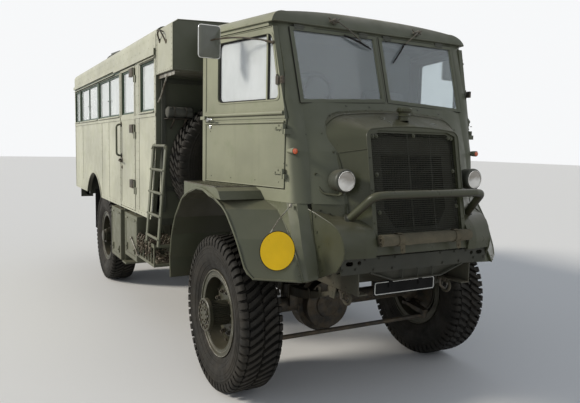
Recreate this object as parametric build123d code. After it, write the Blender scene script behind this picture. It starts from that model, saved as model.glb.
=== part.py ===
"""Four-wheel-drive military truck with a glazed box body, drawn in millimetres.

Every place is measured from the point on the ground below the front axle's centre:
+X is forward, +Y is the truck's left and +Z is up. Each finished piece is moved to
mid-length as it is saved, so that the saved origin lies on the ground at mid-length.
"""
from build123d import *
from math import cos, pi, radians, sin, sqrt, tan
import os

# Running gear
WHEELBASE = 3632
TRACK = 1728
TYRE_D = 1060
TYRE_W = 280
LUGS = 24
LUG_H = 30
LUG_W = 56
LUG_SWEEP = 20
RIM_BEAD_R = 254
RIM_FLANGE_R = 292
RIM_W = 186
RIM_T = 9
DISC_T = 12
HUB_R = 78
DRIVE_FLANGE_R = 107
FRONT_HUB_OUT = 192
REAR_HUB_OUT = 150
SPINDLE_R = 45
RUN_GAP = 0.3
DRUM_R = 203
DRUM_L = 86

# Overall reach ahead of the front axle and behind the rear axle
BODY_REAR_REACH = 1368
BAR_REACH = 1027

# Frame
RAIL_OUT = 445
RAIL_FLANGE = 70
RAIL_T = 8
RAIL_Z0 = 800
RAIL_Z1 = 960
RAIL_FRONT = 889
CROSS_XS = [640, 430, -1220, -1730, -2700, -4300]
CROSS_W = 60

# Axles, springs and steering
AXLE_R = 55
DIFF_Y = -155
DIFF_R = 215
DIFF_L = 250
KINGPIN_Y = 700
BALL_R = 85
KNUCKLE_T = 25
STEER_ARM = 260
STEER_ARM_IN = 60
TRACK_ROD_R = 16
SPRING_W = 64
SPRING_Y = 410
SPRING_HALF = 620
SPRING_T = 62

# Cab
CAB_REAR = -360
CAB_FRONT_HALF = 745
CAB_FRONT_X = 545
CAB_TAPER = 0.2203
CAB_WALL = 32
CAB_FLOOR_Z = 1375
CAB_SILL_Z = 1330
BELT_Z = 1836
GUTTER_Z = 2420
ROOF_CROWN = 125
ROOF_T = 18
ROOF_OVER = 8
DOOR_GAP = 6
DOOR_T = 32
GLASS_T = 5
COWL_T = 8

# Box body
BODY_FRONT = -950
BODY_HALF = 1115
BODY_WALL = 40
BODY_Z0 = 1040
FLOOR_Z = 1065
FLOOR_T = 40
WAIST_Z = 1893
ROOF_EDGE_Z = 2395
BODY_CROWN_Z = 2620
SHOULDER_Z = 2580
SHOULDER_R = 75
LUTON_FRONT = -523
LUTON_Z0 = 2200
LUTON_Z1 = 2530
ARCH_R = 530
ARCH_Z = 770
SIDE_DOOR_X = (-2185, -1621)
SIDE_DOOR_Z = (1060, 2350)

TYRE_R = TYRE_D / 2
WHEEL_Y = TRACK / 2
REAR_AXLE = -WHEELBASE
BODY_REAR = REAR_AXLE - BODY_REAR_REACH
MID_LENGTH = (BAR_REACH + BODY_REAR) / 2
SEAT = 0.3

os.makedirs("parts", exist_ok=True)


def save(name, *solids):
    """Write one node, moved so that the origin is at mid-length."""
    pieces = []
    for item in solids:
        pieces += list(item.solids())
    export_step(Pos(-MID_LENGTH, 0, 0) * Compound(children=pieces), f"parts/{name}.step")


def block(x0, x1, y0, y1, z0, z1):
    return Pos((x0 + x1) / 2, (y0 + y1) / 2, (z0 + z1) / 2) * Box(x1 - x0, y1 - y0, z1 - z0)


def prism_xz(points, y0, y1):
    """A side outline of (x, z) points, carried across from y0 to y1."""
    face = make_face(Polyline([(x, y0, z) for x, z in points], close=True))
    return extrude(face, amount=y1 - y0, dir=(0, 1, 0))


def prism_yz(points, x0, x1):
    """A front outline of (y, z) points, carried along from x0 to x1."""
    face = make_face(Polyline([(x0, y, z) for y, z in points], close=True))
    return extrude(face, amount=x1 - x0, dir=(1, 0, 0))


def prism_xy(points, z0, z1):
    """A plan outline of (x, y) points, carried up from z0 to z1."""
    face = make_face(Polyline([(x, y, z0) for x, y in points], close=True))
    return extrude(face, amount=z1 - z0, dir=(0, 0, 1))


def rod_y(r, y0, y1, x=0, z=0):
    return Pos(x, (y0 + y1) / 2, z) * Rot(90, 0, 0) * Cylinder(r, abs(y1 - y0))


def rod_x(r, x0, x1, y=0, z=0):
    return Pos((x0 + x1) / 2, y, z) * Rot(0, 90, 0) * Cylinder(r, abs(x1 - x0))


def rod_z(r, z0, z1, x=0, y=0):
    return Pos(x, y, (z0 + z1) / 2) * Cylinder(r, abs(z1 - z0))


def turned(points):
    """A round piece about the Y axis from (radius, y) points."""
    return revolve(make_face(Polyline([(r, y, 0) for r, y in points], close=True)), Axis.Y)


def other_side(shape):
    """The same piece for the other side of the truck."""
    return mirror(shape, about=Plane.XZ)


def bent_tube(points, radius, bend):
    """A round tube along straight runs joined by tangent arcs."""
    path = FilletPolyline(*points, radius=bend)
    start = Plane(origin=path @ 0, z_dir=path % 0)
    return sweep(start * Circle(radius), path=path)


# Wheels, drawn about the wheel's centre with the outer side at +Y
def tyre_ring(r, y):
    """One ring of the tyre's flat-sided casing: LUGS corners at radius r."""
    step = 2 * pi / LUGS
    return [(r * cos(k * step), y, r * sin(k * step)) for k in range(LUGS)]


def tyre_lug():
    """A swept bar from the tread's middle over the shoulder, on a casing flat at +Z."""
    reach = LUG_W / 2 + LUG_SWEEP
    top = sqrt(TYRE_R ** 2 - reach ** 2)
    rows = []
    for z, y_end in ((top, TYRE_W / 2 - 18), (top - LUG_H - 22, TYRE_W / 2)):
        rows.append(Face(Wire.make_polygon([
            (-LUG_W / 2 - LUG_SWEEP, 6, z), (LUG_W / 2 - LUG_SWEEP, 6, z),
            (LUG_W / 2 + LUG_SWEEP, y_end, z), (-LUG_W / 2 + LUG_SWEEP, y_end, z),
        ])))
    return loft(rows, ruled=True)


def tyre():
    """A casing of flat-sided rings from bead to tread, with a row of bar lugs on each half."""
    flat = cos(pi / LUGS)
    r0, r1 = (RIM_BEAD_R + SEAT) / flat, (RIM_FLANGE_R + SEAT) / flat
    bead = RIM_W / 2 - SEAT
    side = TYRE_W / 2
    tread_r = TYRE_R - LUG_H
    rings = [(r1, bead), (r1 + 80, side - 4), (tread_r - 24, side - 12), (tread_r, side - 40)]
    rings += [(r, -y) for r, y in reversed(rings)]
    casing = None
    for (ra, ya), (rb, yb) in zip(rings, rings[1:]):
        band = loft([
            Face(Wire.make_polygon(tyre_ring(ra, ya))), Face(Wire.make_polygon(tyre_ring(rb, yb))),
        ], ruled=True)
        casing = band if casing is None else casing + band
    bore = Face(Wire.make_polygon(tyre_ring(r0, -side)))
    casing -= extrude(bore, amount=TYRE_W, dir=(0, 1, 0))
    for end in (1, -1):
        mouth = Face(Wire.make_polygon(tyre_ring(r1, end * bead)))
        casing -= extrude(mouth, amount=side, dir=(0, end, 0))
    lug = tyre_lug()
    pair = [lug, Rot(0, 0, 180) * lug]
    lugs = [Rot(0, 360 * (k + 0.5) / LUGS, 0) * half for k in range(LUGS) for half in pair]
    return casing.fuse(*lugs)


def wheel_disc(bore_r):
    """The bare wheel: a flanged ring and a dished disc with a round hole."""
    half = RIM_W / 2
    inner = RIM_BEAD_R - RIM_T
    ring = turned([
        (inner, -half - 10), (RIM_FLANGE_R, -half - 10), (RIM_FLANGE_R, -half),
        (RIM_BEAD_R, -half), (RIM_BEAD_R, half), (RIM_FLANGE_R, half),
        (RIM_FLANGE_R, half + 10), (inner, half + 10),
    ])
    disc = turned([
        (inner + 1, -12), (inner + 1, -12 + DISC_T), (165, 22 + DISC_T), (bore_r, 22 + DISC_T),
        (bore_r, 22), (165, 22),
    ])
    return ring + disc


def rim(hub_out, driven):
    """One-piece disc wheel with its drum, hub and, where driven, a drive flange."""
    drum = turned([
        (DRUM_R - 10, 16 - DRUM_L), (DRUM_R, 16 - DRUM_L), (DRUM_R, 16), (160, 22.5),
        (HUB_R - 5, 22.5), (HUB_R - 5, 12), (DRUM_R - 10, 6),
    ])
    hub = rod_y(HUB_R, -36, hub_out - 20)
    if driven:
        hub += rod_y(DRIVE_FLANGE_R, hub_out - 22, hub_out)
        hub += rod_y(60, hub_out - 1, hub_out + 8)
    else:
        hub += rod_y(HUB_R - 14, hub_out - 21, hub_out)
    bore = rod_y(SPINDLE_R + RUN_GAP, -DRUM_L - 20, SPINDLE_END + RUN_GAP)
    return wheel_disc(HUB_R - 5) + drum + hub - bore


SPINDLE_END = 122
BACKPLATE_Y = -DRUM_L + 16 - 6
BACKPLATE_T = 6
wheel_tyre = tyre()
front_rim = rim(FRONT_HUB_OUT, True)
rear_rim = rim(REAR_HUB_OUT, False)
for name, x, rim_shape in (("front", 0, front_rim), ("rear", REAR_AXLE, rear_rim)):
    place = Pos(x, WHEEL_Y, TYRE_R)
    save(f"rim_{name}_left", place * rim_shape)
    save(f"tyre_{name}_left", place * wheel_tyre)
    save(f"rim_{name}_right", other_side(place * rim_shape))
    save(f"tyre_{name}_right", other_side(place * wheel_tyre))


# Frame: two channel rails joined by cross members
rail_section = [
    (RAIL_OUT, RAIL_Z0), (RAIL_OUT, RAIL_Z1), (RAIL_OUT - RAIL_FLANGE, RAIL_Z1),
    (RAIL_OUT - RAIL_FLANGE, RAIL_Z1 - RAIL_T), (RAIL_OUT - RAIL_T, RAIL_Z1 - RAIL_T),
    (RAIL_OUT - RAIL_T, RAIL_Z0 + RAIL_T), (RAIL_OUT - RAIL_FLANGE, RAIL_Z0 + RAIL_T),
    (RAIL_OUT - RAIL_FLANGE, RAIL_Z0),
]
RAIL_REAR = BODY_REAR + 60
SHAFT_Z = 880
SHAFT_R = 30
SHAFT_BORE_R = SHAFT_R + 16
rail = prism_yz(rail_section, RAIL_REAR, RAIL_FRONT)
frame = rail + other_side(rail)
CROSS_Y = (-RAIL_OUT + 1, RAIL_OUT - 1)
for x in CROSS_XS:
    frame += block(x - CROSS_W / 2, x + CROSS_W / 2, *CROSS_Y, RAIL_Z0 + 20, RAIL_Z1 - 20)
frame -= rod_x(SHAFT_BORE_R, CROSS_XS[2] - 180, CROSS_XS[2] + 220, 0, SHAFT_Z)
frame += block(RAIL_REAR, RAIL_REAR + CROSS_W, *CROSS_Y, RAIL_Z0, RAIL_Z1)

# Outriggers under the cab and hangers for the springs
OUTRIGGER_XS = [(-345, -295), (500, 550)]
PANEL_Y = 560
for x0, x1 in OUTRIGGER_XS:
    for side in (1, -1):
        y0, y1 = sorted((side * (RAIL_OUT - 2), side * PANEL_Y))
        frame += block(x0, x1, y0, y1, RAIL_Z1 - 50, RAIL_Z1)
EYE_R = 24
EYE_Z = RAIL_Z0 - 40
for axle_x in (0, REAR_AXLE):
    for end in (1, -1):
        for side in (1, -1):
            x = axle_x + end * SPRING_HALF
            outline = [
                (x - 45, RAIL_Z0 + 1), (x + 45, RAIL_Z0 + 1), (x + 26, EYE_Z - 30), (x - 26, EYE_Z - 30),
            ]
            for y in (SPRING_Y - SPRING_W / 2 - 8, SPRING_Y + SPRING_W / 2 + SEAT):
                cheek = prism_xz(outline, y, y + 8 - SEAT)
                frame += cheek if side > 0 else other_side(cheek)
            pin = rod_y(10, SPRING_Y - SPRING_W / 2 - 9, SPRING_Y + SPRING_W / 2 + 8, x, EYE_Z)
            frame += pin if side > 0 else other_side(pin)
save("chassis_frame", frame)


# Leaf springs: a bowed pack with an eye at each end, seated on the axle
SPRING_LOW = TYRE_R + AXLE_R + 30
def leaf_spring(axle_x):
    outline = Wire([
        Edge.make_line((-SPRING_HALF, 0, EYE_Z + 12), (-SPRING_HALF, 0, EYE_Z - 2)),
        Edge.make_three_point_arc(
            (-SPRING_HALF, 0, EYE_Z - 2), (-300, 0, SPRING_LOW + 30), (-60, 0, SPRING_LOW)),
        Edge.make_line((-60, 0, SPRING_LOW), (60, 0, SPRING_LOW)),
        Edge.make_three_point_arc(
            (60, 0, SPRING_LOW), (300, 0, SPRING_LOW + 30), (SPRING_HALF, 0, EYE_Z - 2)),
        Edge.make_line((SPRING_HALF, 0, EYE_Z - 2), (SPRING_HALF, 0, EYE_Z + 12)),
        Edge.make_three_point_arc(
            (SPRING_HALF, 0, EYE_Z + 12), (0, 0, SPRING_LOW + SPRING_T), (-SPRING_HALF, 0, EYE_Z + 12)),
    ])
    pack = extrude(make_face(outline), amount=SPRING_W, dir=(0, 1, 0))
    pack = Pos(0, -SPRING_W / 2, 0) * pack
    for end in (1, -1):
        pack += rod_y(EYE_R, -SPRING_W / 2, SPRING_W / 2, end * SPRING_HALF, EYE_Z)
    for end in (1, -1):
        pack -= rod_y(10 + SEAT, -SPRING_W, SPRING_W, end * SPRING_HALF, EYE_Z)
    return Pos(axle_x, SPRING_Y, 0) * pack


springs = [leaf_spring(x) for x in (0, REAR_AXLE)]
save("leaf_springs", *springs, *[other_side(s) for s in springs])


# Axles: a tube, a round final drive case and spring seats
def axle(x, half, ends):
    case = rod_x(DIFF_R - 40, -DIFF_L / 2, DIFF_L / 2, DIFF_Y, TYRE_R)
    case += Pos(0, DIFF_Y, TYRE_R) * Rot(0, 90, 0) * Cylinder(DIFF_R, DIFF_L * 0.45)
    nose = -1 if x == 0 else 1
    case += rod_x(70, 0, nose * (DIFF_L / 2 + 110), DIFF_Y, TYRE_R)
    shape = rod_y(AXLE_R, -half, half, 0, TYRE_R) + case
    for side in (1, -1):
        y = side * SPRING_Y
        shape += block(-70, 70, y - SPRING_W / 2, y + SPRING_W / 2, TYRE_R, SPRING_LOW)
    return Pos(x, 0, 0) * (shape + ends)


PIN_R = 22
ball_ends = Pos(0, KINGPIN_Y, TYRE_R) * (Sphere(BALL_R) + Cylinder(PIN_R, 200))
ball_ends += other_side(ball_ends)
front_axle = axle(0, KINGPIN_Y - 20, ball_ends)
PLATE_Y = WHEEL_Y + BACKPLATE_Y
spindle = rod_y(SPINDLE_R, PLATE_Y - 60, WHEEL_Y + SPINDLE_END, 0, TYRE_R)
spindle += rod_y(DRUM_R - 14, PLATE_Y, PLATE_Y + BACKPLATE_T, 0, TYRE_R)
rear_axle = axle(REAR_AXLE, PLATE_Y + 1, spindle + other_side(spindle))
save("front_axle", front_axle)
save("rear_axle", rear_axle)


# Steering knuckles: a yoke about each ball end, with the stub axle and a steering arm
def knuckle():
    ear = 100 + SEAT
    plate_in, plate_out = BALL_R + 12, BALL_R + 12 + KNUCKLE_T
    shape = block(-70, 70, plate_in, plate_out, -ear - KNUCKLE_T, ear + KNUCKLE_T)
    for z0, z1 in ((ear, ear + KNUCKLE_T), (-ear - KNUCKLE_T, -ear)):
        shape += block(-45, 45, 0, plate_out, z0, z1) + rod_z(45, z0, z1)
    stub_end = WHEEL_Y + SPINDLE_END - KINGPIN_Y
    shape += rod_y(SPINDLE_R, plate_in + 1, stub_end)
    plate = PLATE_Y - KINGPIN_Y
    shape += rod_y(DRUM_R - 14, plate, plate + BACKPLATE_T)
    shape = Pos(0, KINGPIN_Y, TYRE_R) * shape
    arm_y = KINGPIN_Y - STEER_ARM_IN
    arm_z = TYRE_R - ear - KNUCKLE_T
    shape += prism_xy(
        [(-30, KINGPIN_Y + 40), (-30, KINGPIN_Y - 35), (30, KINGPIN_Y - 40), (STEER_ARM - 20, arm_y - 22),
         (STEER_ARM + 20, arm_y - 22), (STEER_ARM + 20, arm_y + 22), (60, KINGPIN_Y + 40)],
        arm_z, arm_z + KNUCKLE_T)
    return shape


left_knuckle = knuckle()
save("knuckle_left", left_knuckle)
save("knuckle_right", other_side(left_knuckle))
ARM_Z = TYRE_R - 100 - SEAT - KNUCKLE_T
ROD_Z = ARM_Z - 20 - SEAT
ROD_Y = KINGPIN_Y - STEER_ARM_IN
track_rod = rod_y(TRACK_ROD_R, -ROD_Y, ROD_Y, STEER_ARM, ROD_Z)
for side in (1, -1):
    track_rod += rod_z(22, ROD_Z - 20, ROD_Z + 20, STEER_ARM, side * ROD_Y)
save("track_rod", track_rod)


# Engine and radiator as plain blocks, transfer box and propeller shafts
engine = block(-300, 470, -230, 230, RAIL_Z1 + SEAT, 1560)
engine += block(-250, 200, -130, 130, 870, RAIL_Z1 + 1)
engine += block(400, 460, -150, 150, RAIL_Z1 - 20 + SEAT, RAIL_Z1 + 1)
RADIATOR_X = (640, 700)
radiator = block(*RADIATOR_X, -285, 285, RAIL_Z1 - 20 + SEAT, 1700)
save("engine_and_radiator", engine, radiator)

NOSE = DIFF_L / 2 + 110
BOX_X = (-1700 + SEAT, -1250 - SEAT)
transfer = block(*BOX_X, -260, 130, 560, RAIL_Z1 - 30)
shaft_ends = [(-NOSE, TYRE_R, BOX_X[1], 640), (REAR_AXLE + NOSE, TYRE_R, BOX_X[0], 640)]
shafts = []
for xa, za, xb, zb in shaft_ends:
    run = Line((xa, DIFF_Y, za), (xb, DIFF_Y, zb))
    shaft = sweep(Plane(origin=run @ 0, z_dir=run % 0) * Circle(38), path=run)
    low, high = sorted((xa, xb))
    shafts.append(shaft & block(low + SEAT, high - SEAT, -400, 400, 0, 1000))
GEARBOX_X = (-900, -300)
gearbox = block(GEARBOX_X[0], GEARBOX_X[1] - SEAT, -140, 140, RAIL_Z0 + 10, 1060)
between_rails = RAIL_OUT - RAIL_FLANGE - SEAT
gearbox += block(-640, -560, -between_rails, between_rails, 880, 940)
link = rod_x(SHAFT_R, BOX_X[1] + SEAT, GEARBOX_X[0] - SEAT, 0, SHAFT_Z)
save("driveline", transfer, *shafts, gearbox, link)


# Cab outline: rows of height, nose at the middle, nose at the shoulder, corner on the side
NOSE_Y = 470
SHOULDER_Y = 640
CAB_ROWS = [
    (CAB_SILL_Z, 765, 665, 545),
    (1640, 690, 615, 535),
    (1950, 530, 520, 500),
    (GUTTER_Z, 390, 380, 350),
]


def side_y(x):
    """Half-width of the cab's side at x; the sides spread towards the rear."""
    return CAB_FRONT_HALF + (CAB_FRONT_X - x) * CAB_TAPER


def cab_section(row, inset):
    z, x_mid, x_shoulder, x_side = row
    rear = CAB_REAR + inset
    left = [
        (rear, side_y(rear) - inset),
        (x_side - inset, side_y(x_side - inset) - inset),
    ]
    shoulder = (x_shoulder - inset, SHOULDER_Y - inset * 0.4)
    nose = (x_mid - inset, NOSE_Y - inset * 0.4)
    a, b = left[1], shoulder
    corner = ((a[0] * 0.42 + b[0] * 0.58) + 6, (a[1] * 0.58 + b[1] * 0.42) + 14)
    sweep_mid = ((b[0] + nose[0]) / 2 + 7, (b[1] + nose[1]) / 2 + 7)

    def at(p, side):
        return (p[0], side * p[1], z)

    edges = [Edge.make_line(at(left[0], -1), at(left[0], 1)), Edge.make_line(at(left[0], 1), at(a, 1))]
    edges.append(Edge.make_three_point_arc(at(a, 1), at(corner, 1), at(b, 1)))
    edges.append(Edge.make_three_point_arc(at(b, 1), at(sweep_mid, 1), at(nose, 1)))
    edges.append(Edge.make_line(at(nose, 1), at(nose, -1)))
    edges.append(Edge.make_three_point_arc(at(nose, -1), at(sweep_mid, -1), at(b, -1)))
    edges.append(Edge.make_three_point_arc(at(b, -1), at(corner, -1), at(a, -1)))
    edges.append(Edge.make_line(at(a, -1), at(left[0], -1)))
    return Face(Wire(edges))


def cab_solid(inset, lift=0):
    """The cab lofted through its rows, inset all round; lift takes it past both ends."""
    rows = [list(row) for row in CAB_ROWS]
    rows[0][0] -= lift
    rows[-1][0] += lift
    return loft([cab_section(row, inset) for row in rows], ruled=True)


cab_outer = cab_solid(0)
cab_inner = cab_solid(CAB_WALL, lift=1)

# Cab door outline: rows of x, z going round from the lower front corner
DOOR_FRONT = 526
DOOR_REAR = -318
DOOR_Z0 = 1412
DOOR_TOP = GUTTER_Z - 28
PILLAR_LOW = (DOOR_FRONT, BELT_Z)
PILLAR_TOP = (392, DOOR_TOP)
door_outline = [
    (DOOR_FRONT, DOOR_Z0), PILLAR_LOW, PILLAR_TOP, (DOOR_REAR, DOOR_TOP), (DOOR_REAR, DOOR_Z0),
]
door_hole = [
    (DOOR_FRONT + DOOR_GAP, DOOR_Z0 - DOOR_GAP), (DOOR_FRONT + DOOR_GAP, BELT_Z + 2),
    (PILLAR_TOP[0] + DOOR_GAP + 2, DOOR_TOP + DOOR_GAP), (DOOR_REAR - DOOR_GAP, DOOR_TOP + DOOR_GAP),
    (DOOR_REAR - DOOR_GAP, DOOR_Z0 - DOOR_GAP),
]
DOOR_WINDOW_Z = (1950, 2348)
window_outline = [
    (462, DOOR_WINDOW_Z[0]), (386, DOOR_WINDOW_Z[1]), (-172, DOOR_WINDOW_Z[1]), (-172, DOOR_WINDOW_Z[0]),
]
WINDOW_R = 40


def rounded_prism(points, y0, y1, r):
    """A side outline carried across, with its corners rounded."""
    return fillet(prism_xz(points, y0, y1).edges().filter_by(Axis.Y), r)


def side_slab(shape, depth_in, depth_out):
    """The part of a side shape that lies between two depths below the cab's skin."""
    x0, x1 = CAB_REAR - 200, CAB_FRONT_X + 200
    band = prism_xy(
        [(x0, side_y(x0) - depth_in), (x1, side_y(x1) - depth_in),
         (x1, side_y(x1) - depth_out), (x0, side_y(x0) - depth_out)], 1000, 2600)
    return shape & band


def corners(x0, x1, z0, z1):
    """The corners of an upright rectangle, as (x, z)."""
    return [(x0, z0), (x1, z0), (x1, z1), (x0, z1)]


def side_panel(points, depth_in, depth_out):
    return side_slab(prism_xz(points, 600, 1200), depth_in, depth_out)


# Windscreen: half outline of y, z for one pane
pane_outline = [(10, 1962), (654, 1930), (668, 2402), (10, 2406)]

shell = cab_outer - cab_inner
hole = side_panel(door_hole, -60, DOOR_T + DOOR_GAP)
shell -= hole + other_side(hole)
pane_hole = prism_yz(pane_outline, 250, 700)
shell -= pane_hole + other_side(pane_hole)
COWL_HOLE = (430, 1850)
shell -= block(560, 900, -COWL_HOLE[0], COWL_HOLE[0], CAB_SILL_Z - 10, COWL_HOLE[1])


# Cab door hinge line, just outside the skin at the door's front edge
HINGE_R = 12
HINGE_Y = side_y(DOOR_FRONT) + HINGE_R + 2
HINGE_X = DOOR_FRONT + 3
HINGE_ZS = [1500, 1769]


def barrels(radius, half_length, x, y, z):
    """A hinge's fixed lower barrel and its moving upper barrel, one on the other."""
    lower = rod_z(radius, z - half_length, z - SEAT, x, y)
    upper = rod_z(radius, z, z + half_length, x, y)
    return lower, upper


BELT_T = 6
BELT_TOP = 1890
GLASS_IN = 16
QUARTER_X = (334, 348)
door = side_panel(door_outline, 0, DOOR_T)
door += side_panel(
    [(DOOR_REAR, BELT_Z), (DOOR_FRONT, BELT_Z), (516, BELT_TOP), (DOOR_REAR, BELT_TOP)], -BELT_T, 1)
door -= rounded_prism(window_outline, 600, 1200, WINDOW_R)
quarter_bar = corners(*QUARTER_X, DOOR_WINDOW_Z[0] - 1, DOOR_WINDOW_Z[1] + 1)
door += side_panel(quarter_bar, 2, GLASS_IN - SEAT)
glass_outline = [
    (x + (SEAT if i in (2, 3) else -SEAT), z + (SEAT if i in (0, 3) else -SEAT))
    for i, (x, z) in enumerate(window_outline)
]
door_glass = side_slab(rounded_prism(glass_outline, 600, 1200, WINDOW_R), GLASS_IN, GLASS_IN + GLASS_T)
fixed_hinges = None
for z in HINGE_ZS:
    lower, upper = barrels(HINGE_R, 30, HINGE_X, HINGE_Y, z)
    leaf = block(DOOR_FRONT - 60, HINGE_X, HINGE_Y - 40, HINGE_Y + 30, z, z + 30)
    door += upper + side_slab(leaf, -8, 1)
    post = block(HINGE_X, HINGE_X + 26, HINGE_Y - 60, HINGE_Y + 6, z - 30, z - SEAT)
    fixed = lower + post - cab_outer
    fixed_hinges = fixed if fixed_hinges is None else fixed_hinges + fixed
HANDLE_X = -312
HANDLE_Z = 1850
handle_y = side_y(HANDLE_X)
door += rod_y(11, handle_y - 10, handle_y + 40, HANDLE_X, HANDLE_Z)
door += block(HANDLE_X - 14, HANDLE_X + 70, handle_y + 26, handle_y + 42, HANDLE_Z - 11, HANDLE_Z + 11)
shell += fixed_hinges + other_side(fixed_hinges)
save("cab_shell", shell)
save("cab_door_left", door)
save("cab_door_right", other_side(door))
save("cab_door_glass_left", door_glass)
save("cab_door_glass_right", other_side(door_glass))


# Mirrors, each on an arm from its door's upper front corner
MIRROR_ROOT = (350, side_y(350) - 1, 2370)
MIRROR_HEAD = (8, 1036, 2326)
MIRROR_SIZE = (36, 150, 208)


def mirror_unit():
    path = Line(MIRROR_ROOT, MIRROR_HEAD)
    arm = sweep(Plane(origin=path @ 0, z_dir=path % 0) * Circle(9), path=path)
    arm -= side_panel(corners(-400, 600, 2300, 2500), 0, 400)
    return arm + fillet((Pos(*MIRROR_HEAD) * Box(*MIRROR_SIZE)).edges().filter_by(Axis.X), 18)


mirror_left = mirror_unit()
save("mirror_left", mirror_left)
save("mirror_right", other_side(mirror_left))


# Windscreen frames and glass, lying in the slope of the screen
def screen_slab(proud, deep):
    low, high = 1920, GUTTER_Z - 8
    x_at = {z: 530 - (z - 1950) * (530 - 390) / (GUTTER_Z - 1950) for z in (low, high)}
    return prism_xz(
        [(x_at[low] + proud, low), (x_at[high] + proud, high),
         (x_at[high] - deep, high), (x_at[low] - deep, low)], -700, 700)


def inset_pane(d):
    (ya, za), (yb, zb), (yc, zc), (yd, zd) = pane_outline
    return [(ya + d, za + d), (yb - d, zb + d), (yc - d, zc - d), (yd + d, zd - d)]


FRAME_BAR = 22
screen_frame = screen_slab(4, 22) & prism_yz(inset_pane(SEAT), 200, 700)
screen_frame -= prism_yz(inset_pane(FRAME_BAR), 200, 700)
screen_glass = screen_slab(-6, 12) & prism_yz(inset_pane(FRAME_BAR + SEAT), 200, 700)
save("windscreen_frames", screen_frame, other_side(screen_frame))


# Cab roof: a crowned pressing with a gutter lip
def roof_section(x, inset):
    w = side_y(x) + ROOF_OVER - inset
    z0 = GUTTER_Z
    top = z0 + ROOF_CROWN - inset
    lip, bend = (w, z0 + 14), (w - 42, z0 + 60 - inset * 0.8)
    corner = (w - 120, z0 + 78 - inset)

    def at(p, side):
        return (x, side * p[0], p[1])

    edges = [
        Edge.make_line((x, w, z0), at(lip, 1)),
        Edge.make_three_point_arc(at(lip, 1), at(bend, 1), at(corner, 1)),
        Edge.make_three_point_arc(at(corner, 1), (x, 0, top), at(corner, -1)),
        Edge.make_three_point_arc(at(corner, -1), at(bend, -1), at(lip, -1)),
        Edge.make_line(at(lip, -1), (x, -w, z0)),
        Edge.make_line((x, -w, z0), (x, w, z0)),
    ]
    return Face(Wire(edges))


ROOF_X = (CAB_REAR - 12, 398)


def roof_loft(inset):
    ends = (ROOF_X[0] + inset, ROOF_X[1] - inset)
    return loft([roof_section(x, inset) for x in ends], ruled=True)


def roof_side(inset):
    """Side outline of the roof, rounded over the windscreen and at the rear."""
    x0, x1 = ROOF_X[0] + inset, ROOF_X[1] - inset
    top = GUTTER_Z + ROOF_CROWN + 10 - inset
    edges = [
        Edge.make_line((x0, -1200, GUTTER_Z), (x1, -1200, GUTTER_Z)),
        Edge.make_line((x1, -1200, GUTTER_Z), (x1, -1200, GUTTER_Z + 14)),
        Edge.make_three_point_arc(
            (x1, -1200, GUTTER_Z + 14), (x1 - 42, -1200, GUTTER_Z + 82 - inset * 0.7),
            (x1 - 170, -1200, top)),
        Edge.make_line((x1 - 170, -1200, top), (x0 + 90, -1200, top)),
        Edge.make_three_point_arc(
            (x0 + 90, -1200, top), (x0 + 26, -1200, top - 34), (x0, -1200, GUTTER_Z + 40)),
        Edge.make_line((x0, -1200, GUTTER_Z + 40), (x0, -1200, GUTTER_Z)),
    ]
    return extrude(Face(Wire(edges)), amount=2400, dir=(0, 1, 0))


cab_roof = (roof_loft(0) & roof_side(0)) - (roof_loft(ROOF_T) & roof_side(ROOF_T))
save("cab_roof", cab_roof)


# Cab floor with the engine cover, the inner wheel panels and the seat boxes
inner_clear = cab_solid(CAB_WALL + SEAT, lift=1)
floor = block(CAB_REAR + 40, 900, -1000, 1000, CAB_FLOOR_Z, CAB_FLOOR_Z + 20) & inner_clear
COVER_FRONT = 575
COVER_Y = 300
COVER_Z = 1720
COVER_T = 10
cover_in = COVER_Y - COVER_T
cover = block(CAB_REAR + 40, COVER_FRONT, -COVER_Y, COVER_Y, CAB_FLOOR_Z, COVER_Z) & inner_clear
cover -= block(CAB_REAR + 30, COVER_FRONT + 15, -cover_in, cover_in, CAB_FLOOR_Z - 10, COVER_Z - COVER_T)
floor -= block(CAB_REAR + 50, 900, -cover_in, cover_in, CAB_FLOOR_Z - 10, CAB_FLOOR_Z + 30)
floor += cover
SEAT_Y = (350, 770)
SEAT_Z = (1560, 1660, 2120)
for side in (1, -1):
    y0, y1 = sorted((side * (PANEL_Y - 10), side * PANEL_Y))
    floor += block(OUTRIGGER_XS[0][0], OUTRIGGER_XS[1][1], y0, y1, RAIL_Z1, CAB_FLOOR_Z + 1)
    y0, y1 = sorted((side * (SEAT_Y[0] - 10), side * (SEAT_Y[1] + 10)))
    floor += block(-290, 130, y0, y1, CAB_FLOOR_Z + 19, SEAT_Z[0])
floor -= block(CAB_REAR - 1, CAB_REAR + CAB_WALL + SEAT, -900, 900, CAB_SILL_Z - SEAT, CAB_FLOOR_Z + 5)
save("cab_floor", floor)

seats = []
for side in (1, -1):
    y0, y1 = sorted((side * SEAT_Y[0], side * SEAT_Y[1]))
    seats.append(block(-270, 170, y0, y1, SEAT_Z[0] + SEAT, SEAT_Z[1]))
    seats.append(block(-300, -200, y0, y1, SEAT_Z[1] + SEAT * 2, SEAT_Z[2]))
save("seats", *seats)

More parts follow.
